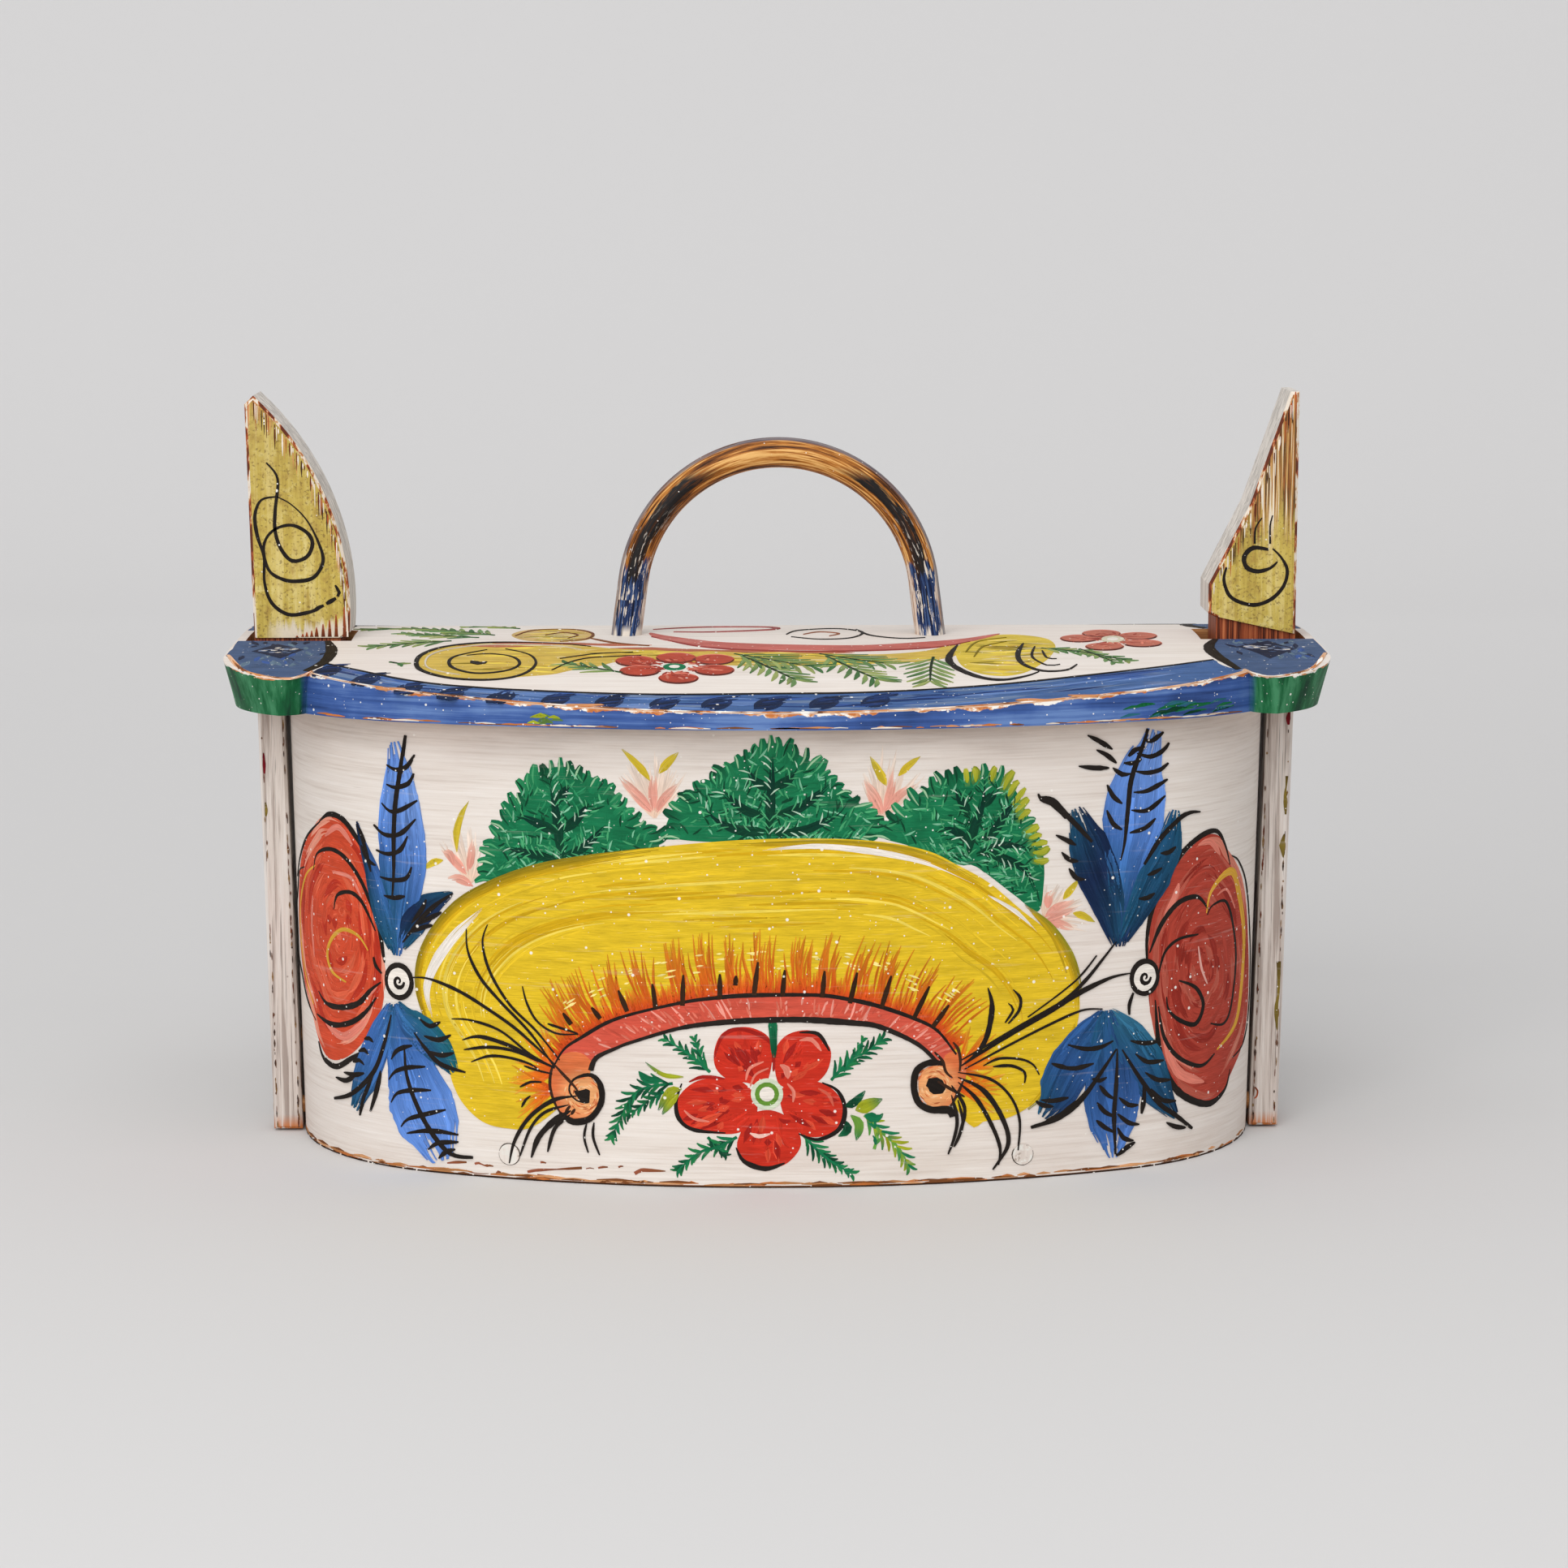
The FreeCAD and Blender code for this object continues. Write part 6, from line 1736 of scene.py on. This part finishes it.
def rim_line(inset, parts):
    """Line a little inside the lid's rim, from ear to ear along the front."""
    return [oval_place(LID_HALF_LENGTH - inset, LID_HALF_DEPTH - inset, LID_END_RADIUS - inset,
                       RIM_REACH * step / parts)[0].xy for step in range(-parts, parts + 1)]


lid_band = PaintFilm("lid_band", on_lid)
chance = lid_band.chance
rim_front = rim_line(inset=0.3, parts=20)
for side in (1, -1):
    band = mirrored_line([rim_front[0]] + BAND_LINE + rim_front[:0:-1], side)
    lid_band.patch(band, BAND_BLUE, 0, gap=5.0, mottle=0.18, soft=False)
    inner, outer = smooth(mirrored_line(BAND_LINE, side), 1.0), smooth(mirrored_line(rim_front, side), 1.0)
    for pull in range(BAND_PULLS):
        share, span, depth = chance.random() * 0.86, chance.uniform(0.04, 0.14), chance.uniform(0.06, 0.94)
        places = [share + span * part / 4 for part in range(5)]
        route = [at_share(inner, place).lerp(at_share(outer, place), depth) for place in places]
        paint = chance.choice((LID_BLUE, LID_BLUE_PALE, BAND_BLUE, LID_BLUE_DARK, pigment(104, 124, 156)))
        lid_band.brush(route, (0.3, 1.6, 1.4, 0.3), (paint,), 1, step=3.0, hairs=2, dry=0.4)
for x, y in BAND_SHADOWS:
    lid_band.brush(lid_line(((x - 11, y + 7), (x, y), (x + 9, y - 7))), (5.0, 8.0, 8.0, 4.0),
                   (NAVY, pigment(32, 44, 72), LID_BLUE_DARK), 3, hairs=7, dry=0.4, tone=0.2)
    for hair in range(SHADOW_HAIRS):
        across, along = chance.uniform(-7, 7), chance.uniform(10, 24)
        start, level_there = x - 10 - across * 1.4, y + across
        route = lid_line(((start, level_there), (start + along / 2, level_there - 0.8),
                          (start + along + 8, level_there - 2.4)))
        paint = chance.choice((NAVY, pigment(28, 36, 58), LID_BLUE_DARK))
        lid_band.brush(route, (0.6, 1.5, 0.3), (paint,), 4, step=2.0)
for side in (1, -1):
    lid_band.brush(mirrored_line(BAND_LINE, side), (1.0, 1.4, 1.2, 1.5, 1.2, 1.4, 1.0), (INK,), 6, step=2.5)
lid_band.dry("lid", "lid_paint")

ears = PaintFilm("lid_ears", on_lid, first_coat=4)
chance = ears.chance
for end, side in ((-1, 1), (-1, -1), (1, 1), (1, -1)):
    curve = [(end * x, side * y) for x, y in EAR_CURVES[end]]
    outline = curve + [(end * (x - 0.4), side * (y + 0.5)) for x, y in EAR_ARRIS]
    ears.patch(outline, EAR_BLUE, 0, gap=4.0, mottle=0.25, soft=False)
    heart = Vector((end * EAR_HEART[0], side * EAR_HEART[1]))
    for pull in range(EAR_PULLS):
        start = heart + Vector((chance.uniform(-13, 13), chance.uniform(-22, 22)))
        tip = start + Vector((end * chance.uniform(-4, 4), chance.uniform(4, 10)))
        if within(outline, start) and within(outline, tip):
            paint = chance.choice((EAR_BLUE, LID_BLUE, EAR_BLUE_DARK, pigment(96, 118, 138)))
            ears.brush([start, (start + tip) / 2, tip], (0.4, 1.8, 0.4), (paint,), 1, hairs=2, dry=0.3)
    diamond = [Vector(point) for point in mirrored_line(lid_line(EAR_DIAMONDS[end]), side)]
    ears.patch(diamond, EAR_BLUE_DARK, 2, gap=2.0, mottle=0.2, soft=False)
    for fleck in range(EAR_FLECKS):
        across = chance.uniform(0.1, 0.8)
        drift = chance.uniform(-0.24, 0.24) * (1 - abs(2 * across - 1))
        spot = diamond[0].lerp(diamond[2], across) + (diamond[1] - diamond[3]) * drift
        tip = spot + (diamond[2] - diamond[0]) * 0.12
        paint = chance.choice((WHITE, pigment(150, 160, 186), pigment(112, 128, 158), EAR_BLUE))
        ears.brush([spot, (spot + tip) / 2, tip], (0.2, 0.9, 0.2), (paint,), 4, step=0.8)
    ears.brush(curve, (1.8, 3.6, 4.2, 3.4, 2.0), (INK,), 5)
ears.dry("lid", "lid_paint")

# The arris of the lid is worn to orange wood with broken white ground along it, deepest at a
# few knocks, and the rim's lower edge is worn in patches.
LID_BOTTOM = 153.7
KNOCKS = (84.0, 100.0, -128.0, -64.0)
KNOCK_INSET = 2.4
ARRIS_CHIPS = 150
EAR_ARRIS_CHIPS = 34
RIM_CHIPS = 90
GREEN_DAUBS = 30
OLIVE_DAUBS = 12


def arris_wear(film, arris, chips):
    """Worn line along an arris, drawn a little inside it, with chips of ground and wood."""
    line = smooth(arris, 1.2)
    film.brush(arris, (0.9, 1.4, 1.0, 1.6, 1.1), (pigment(208, 168, 136),), 0, step=2.5, tone=0.16)
    for chip in range(chips):
        first = int(film.chance.random() * (len(line) - 12))
        stretch = line[first:first + film.chance.randint(4, 12)]
        paint = film.chance.choice((WORN_WOOD, pigment(208, 140, 84), SPECK_WHITE, SPECK_WHITE,
                                    BARE_WOOD_DARK))
        film.brush(stretch, (0.2, film.chance.uniform(0.5, 1.5), 0.2), (paint,), 1, step=1.5)


wear = PaintFilm("lid_arris_wear", on_lid, first_coat=10)
for side in (1, -1):
    arris_wear(wear, mirrored_line(rim_line(inset=0.9, parts=30), side), ARRIS_CHIPS)
    for knock in KNOCKS:
        rim_spot = oval_place(LID_HALF_LENGTH, LID_HALF_DEPTH, LID_END_RADIUS, knock)[0]
        centre = Vector((knock, side * rim_spot.y))
        centre *= 1 - KNOCK_INSET / centre.length
        reaches = [wear.chance.uniform(3.5, 7.0) for corner in range(10)]
        turns = [math.pi * corner / 5 for corner in range(10)]
        outline = [(centre.x + reach * math.cos(turn), centre.y + 0.22 * reach * math.sin(turn))
                   for turn, reach in zip(turns, reaches)]
        wear.patch(outline, pigment(204, 140, 92), 2, gap=2.0, mottle=0.2)
    for end in (-1, 1):
        arris_wear(wear, [(end * (x - 1.0), side * (y + 1.0)) for x, y in EAR_ARRIS[:5]], EAR_ARRIS_CHIPS)
wear.dry("lid", "lid_paint")

rim_wear = PaintFilm("lid_rim_wear", on_lid_rim)
chance = rim_wear.chance
for chip in range(RIM_CHIPS):
    start, length = chance.uniform(-RIM_REACH, RIM_REACH - 12), chance.uniform(2.0, 12.0)
    paint = chance.choice((WORN_WOOD, WORN_PALE, BARE_WOOD_DARK, pigment(204, 140, 92)))
    height = LID_BOTTOM + chance.uniform(0.45, 0.8)
    rim_wear.brush([(start, height), (start + length / 2, height + 0.15), (start + length, height)],
                   (0.2, chance.uniform(0.3, 0.7), 0.2), (paint,), 1, step=1.8)
for daub in range(GREEN_DAUBS):
    start, height = chance.uniform(112, 150), chance.uniform(LID_BOTTOM + 1, LID_BOTTOM + 5)
    rim_wear.brush([(start, height), (start + 3, height + 0.8), (start + 7, height + 1.0)], (0.2, 1.0, 0.3),
                   (chance.choice((EAR_GREEN, EAR_GREEN_DARK, pigment(40, 96, 110))),), 0)
for daub in range(OLIVE_DAUBS):
    start, height = chance.uniform(-84, -74), chance.uniform(LID_BOTTOM + 0.8, LID_BOTTOM + 4)
    rim_wear.brush([(start, height), (start + 2, height + 0.5), (start + 4, height)], (0.2, 1.1, 0.3),
                   (chance.choice((YELLOW_GREEN, pigment(90, 120, 60))),), 0)
rim_wear.dry("lid", "lid_paint")

# Painting on the lid's top: a yellow scroll that ends in a spiral at the left and a disc at the
# right, a pink C behind it, red flowers and green sprigs.
LID_SCROLL = (
    (513, 819), (520, 808), (538, 800), (561, 796), (604, 793), (656, 793), (704, 794), (752, 799),
    (800, 801), (870, 802), (950, 803), (1046, 806), (1094, 806), (1141, 802), (1175, 795), (1180, 806),
    (1160, 812), (1141, 815), (1046, 819), (950, 821), (880, 819), (800, 814), (763, 815), (737, 821),
    (704, 826), (680, 831), (642, 834), (604, 838), (556, 836), (523, 829))
LID_DISC = (
    (1177, 803), (1185, 793), (1208, 785), (1245, 782), (1285, 786), (1300, 795), (1295, 808), (1280, 820),
    (1262, 829), (1237, 833), (1208, 830), (1185, 820))
LID_UPPER_SPIRAL = ((632, 781), (655, 776), (700, 775), (730, 780), (728, 787), (700, 791), (655, 790),
                    (635, 786))
LID_RED_C = (
    (801, 780), (824, 784), (872, 790), (920, 793), (1000, 795), (1070, 795), (1141, 791), (1189, 787),
    (1232, 781), (1200, 790), (1141, 798), (1070, 801), (1000, 801), (920, 800), (872, 798), (824, 790),
    (805, 785))
LID_LINES = (
    (((728, 797), (680, 793), (604, 792), (550, 797), (520, 807), (513, 819), (523, 828), (556, 836),
      (604, 838), (642, 832), (660, 819), (652, 807), (623, 800)), 1.6, INK),
    (((716, 801), (680, 796), (604, 795), (556, 800), (530, 808), (524, 819), (534, 826), (566, 832)), 0.8,
     pigment(206, 196, 178)),
    (((600, 801), (559, 810), (556, 822), (585, 830), (623, 827), (640, 819), (632, 810), (604, 806),
      (575, 808)),
     1.2, INK),
    (((580, 815), (590, 818), (600, 816)), 3.2, INK),
    (((690, 812), (735, 806), (780, 804)), 0.7, INK), (((680, 826), (720, 812), (790, 808)), 0.7, INK),
    (((635, 784), (660, 777), (705, 776), (730, 781), (722, 788), (690, 791)), 1.2, BARE_WOOD_DARK),
    (((672, 783), (695, 780), (712, 783), (700, 787)), 0.9, BARE_WOOD_DARK),
    (((728, 787), (760, 793), (800, 796)), 1.4, BARE_WOOD_DARK),
    (((805, 776), (872, 773), (944, 773), (952, 776), (880, 779), (830, 779)), 2.4, pigment(150, 76, 74)),
    (((803, 785), (872, 798), (1000, 803), (1141, 799), (1195, 791)), 1.2, pigment(150, 66, 62)),
    (((969, 782), (985, 777), (1030, 775), (1062, 779), (1050, 786), (1010, 788), (975, 785)), 0.9, INK),
    (((990, 782), (1010, 779), (1034, 781), (1022, 784)), 0.9, pigment(150, 96, 70)),
    (((1055, 776), (1072, 783), (1110, 787), (1140, 786)), 0.9, INK),
    (((1180, 795), (1169, 812), (1180, 824), (1208, 835), (1237, 838), (1266, 833), (1280, 828)), 2.4, INK),
    (((1261, 793), (1254, 807), (1261, 819), (1285, 827), (1314, 826), (1327, 819)), 1.8, INK),
    (((1275, 797), (1272, 810), (1290, 820), (1306, 819)), 0.9, INK),
    (((1284, 802), (1290, 811), (1302, 812)), 0.8, INK),
    (((1190, 804), (1205, 791), (1240, 786)), 0.7, OLIVE),
    (((1200, 810), (1212, 797), (1240, 791)), 0.7, OLIVE))
LID_SPRIGS = (
    (((609, 783), (560, 778), (505, 775), (456, 776)), 12.0), (((590, 786), (545, 784), (500, 781)), 9.0),
    (((556, 790), (510, 793), (462, 797)), 11.0), (((767, 829), (735, 824), (700, 819)), 9.0),
    (((905, 806), (940, 812), (975, 818), (1003, 822)), 16.0), (((915, 809), (950, 824), (980, 838)), 13.0),
    (((1010, 806), (1046, 812), (1092, 818)), 15.0), (((1018, 809), (1050, 824), (1082, 838)), 13.0),
    (((1150, 810), (1147, 822), (1146, 840)), 14.0), (((1283, 799), (1333, 804), (1388, 814)), 8.0),
    (((1330, 800), (1352, 808), (1372, 816)), 6.0), (((640, 775), (610, 773), (580, 773)), 8.0),
    (((480, 816), (492, 818)), 5.0))
LID_FLOWERS = (
    ((831, 822), ((783, 815), (788, 827), (833, 811), (880, 813), (880, 826), (836, 836)), (25, 6.5),
     pigment(176, 72, 54), GREEN),
    ((1371, 788), ((1330, 787), (1357, 781), (1402, 784), (1408, 793), (1361, 797)), (24, 4.6),
     pigment(184, 106, 86), pigment(212, 204, 180)))


def seen_oval(middle, half_width, half_height, corners):
    """Outline on the lid of an oval that the camera sees round a pixel."""
    return lid_line(round_outline(middle, half_width, half_height, corners))


SCROLL_PULLS = 130
LID_PETAL_PULLS = 14
SCROLL_PAINTS = (pigment(202, 172, 78), pigment(208, 182, 66), pigment(200, 168, 106))
LID_FERN = (pigment(66, 108, 62), pigment(104, 138, 84), pigment(146, 158, 92))
lid_painting = PaintFilm("lid_painting", on_lid, first_coat=2)
chance = lid_painting.chance
for pixels, paint in zip((LID_SCROLL, LID_DISC, LID_UPPER_SPIRAL), SCROLL_PAINTS):
    outline = lid_line(pixels)
    lid_painting.patch(outline, paint, 0, gap=5.0, mottle=0.22)
    middle = sum(outline, Vector((0.0, 0.0))) / len(outline)
    for pull in range(SCROLL_PULLS):
        start = chance.choice(outline).lerp(middle, chance.uniform(0.05, 0.8))
        tip = start + Vector((chance.uniform(6, 16), chance.uniform(-3, 3)))
        if within(outline, start) and within(outline, tip):
            colour = chance.choice((YELLOW_PALE, pigment(188, 152, 60), pigment(214, 196, 140), OLIVE))
            lid_painting.brush([start, (start + tip) / 2, tip], (0.3, 1.3, 0.3), (colour,), 1, step=2.0,
                               hairs=2, dry=0.3)
lid_painting.patch(lid_line(LID_RED_C), pigment(190, 104, 94), 2, gap=4.0, mottle=0.16)
for x, y in lid_line(LID_SCROLL[3:11]):
    lid_painting.brush([(x, y), (x + 14, y - 1), (x + 28, y - 2)], (0.6, 4.0, 0.6),
                       (pigment(178, 104, 78),), 2, hairs=5, dry=0.4)
for middle, petals, (wide, high), red, heart_paint in LID_FLOWERS:
    for petal in petals:
        lid_painting.patch(seen_oval(petal, wide, high, 10), red, 4, gap=3.5, mottle=0.2)
    for petal in petals:
        rim = seen_oval(petal, wide - 1, high - 0.4, 12)
        lid_painting.brush(rim[0:7], (0.3, 1.3, 1.3, 0.3), (pigment(92, 40, 32),), 5)
        lid_painting.brush(rim[7:12], (0.3, 1.0, 0.3), (ROSE_PINK,), 5)
        for pull in range(LID_PETAL_PULLS):
            inner = chance.choice(rim).lerp(lid_line([middle])[0], 0.4)
            outer = inner.lerp(chance.choice(rim), 0.6)
            paint = chance.choice((red, pigment(150, 56, 44), pigment(204, 120, 100)))
            lid_painting.brush([inner, (inner + outer) / 2, outer], (0.2, 1.2, 0.2), (paint,), 5)
    lid_painting.patch(seen_oval(middle, 14, 4, 10), heart_paint, 6, gap=3.0)
    lid_painting.patch(seen_oval(middle, 7, 2, 8), WHITE, 7, gap=3.0)
for pixels, leaf in LID_SPRIGS:
    sprig(lid_painting, lid_line(pixels), leaf, LID_FERN, coat=6, pitch=4.2, thick=1.9)
    lid_painting.brush(lid_line(pixels), (0.6, 0.9, 0.3), (pigment(40, 52, 36),), 8, step=2.0)
for pixels, width, paint in LID_LINES:
    lid_painting.brush(lid_line(pixels), (0.4, width, width, 0.8 * width, 0.4), (paint,), 9, tone=0.03,
                       step=2.0)
lid_painting.dry("lid", "lid_paint")

# ---------------------------------------------------------------------------- handle
# A steamed bow of hardwood whose ends pass through the lid. Hands have worn its crown to golden
# wood with black left in its hollows; its legs keep their navy paint, chipped to the ground.
BOW_CENTRE = (0.0008, 0.0, 0.1844)
BOW_RADIUS = 0.0503
LEG_TOP = 0.0066
LEG_SPREAD = 0.0499
LEG_SLOPE = 0.1317


def handle_finish():
    finish, tree, shader = new_finish("handle_paint")
    place = add(tree, "TexCoord").outputs["Object"]
    from_centre = add(tree, "VectorMath", {0: place, 1: BOW_CENTRE}, operation="SUBTRACT").outputs[0]
    x, y, z = add(tree, "SeparateXYZ", {0: from_centre}).outputs
    turn = combine(tree, "ARCTAN2", z, x)
    in_plane = add(tree, "CombineXYZ", {0: x, 2: z}).outputs[0]
    radius = add(tree, "VectorMath", {0: in_plane}, operation="LENGTH").outputs["Value"]
    below_crown = combine(tree, "SUBTRACT", LEG_TOP, z)
    leg_line = combine(tree, "ADD", times(tree, below_crown, LEG_SLOPE), LEG_SPREAD)
    off_leg = combine(tree, "SUBTRACT", combine(tree, "ABSOLUTE", x, 0.0), leg_line)
    on_leg = combine(tree, "LESS_THAN", z, LEG_TOP)
    across = over(tree, on_leg, combine(tree, "SUBTRACT", radius, BOW_RADIUS), off_leg)
    round_bow = times(tree, turn, BOW_RADIUS)
    along = add(tree, "CombineXYZ", {0: round_bow, 1: y, 2: across}).outputs[0]
    grain = streaks(tree, along, (60.0, 1300.0, 1300.0), seed=2.0)
    broad = streaks(tree, along, (20.0, 300.0, 300.0), seed=4.0)
    wood = ramp(tree, over(tree, 0.45, grain, broad), [
        (0.42, pigment(52, 30, 16)), (0.465, pigment(116, 66, 26)),
        (0.52, pigment(178, 112, 44)), (0.58, pigment(228, 178, 108))])
    from_middle = combine(tree, "ABSOLUTE", across, 0.0)
    patches = streaks(tree, along, (30.0, 200.0, 300.0), detail=4.0, seed=6.0)
    flank = times(tree, level(tree, z, -0.004, 0.002), level(tree, z, 0.046, 0.041))
    ragged_width = combine(tree, "ADD", from_middle, level(tree, patches, 0.3, 0.7, 0.0016, -0.0016))
    black = times(tree, flank, level(tree, ragged_width, 0.0024, 0.0019))
    black = times(tree, black, level(tree, grain, 0.42, 0.46))
    colour = over(tree, black, wood, pigment(28, 25, 25))
    navy = ramp(tree, grain,
                [(0.4, pigment(12, 16, 32)), (0.5, pigment(26, 44, 86)), (0.6, pigment(64, 90, 134))])
    ragged = combine(tree, "ADD", z, level(tree, patches, 0.3, 0.7, -0.009, 0.009))
    painted = times(tree, level(tree, ragged, 0.0135, 0.0115), level(tree, ragged_width, 0.0046, 0.0040))
    colour = over(tree, painted, colour, navy)
    ground = times(tree, level(tree, ragged, 0.012, 0.008), level(tree, ragged_width, 0.0040, 0.0046))
    ground_paint = ramp(tree, grain, [(0.4, pigment(168, 128, 98)), (0.52, pigment(222, 206, 192))])
    colour = over(tree, ground, colour, ground_paint)
    chipping = streaks(tree, along, (150.0, 1300.0, 1300.0), seed=9.0)
    chips = times(tree, level(tree, chipping, 0.585, 0.605), level(tree, z, 0.034, 0.01))
    foot = times(tree, level(tree, z, -0.0085, -0.011), level(tree, patches, 0.46, 0.52))
    colour = over(tree, combine(tree, "MAXIMUM", chips, foot), colour, pigment(216, 206, 194))
    outer_edge = times(tree, level(tree, across, 0.0040, 0.0046), level(tree, grain, 0.38, 0.46))
    colour = over(tree, times(tree, outer_edge, 0.85), colour, pigment(96, 102, 116))
    specks = times(tree, spots(tree, place, 0.0024, 0.00025, 0.35), 0.85)
    colour = over(tree, specks, colour, SPECK_WHITE)
    rough = level(tree, grain, 0.3, 0.7, 0.55, 0.34)
    set_surface(tree, shader, colour, rough, grain, depth=0.0003, strength=0.8)
    return finish


dress("handle_bow", handle_finish(), 0.0003)
dress("handle_pins", PEG_WOOD, 0.0002)
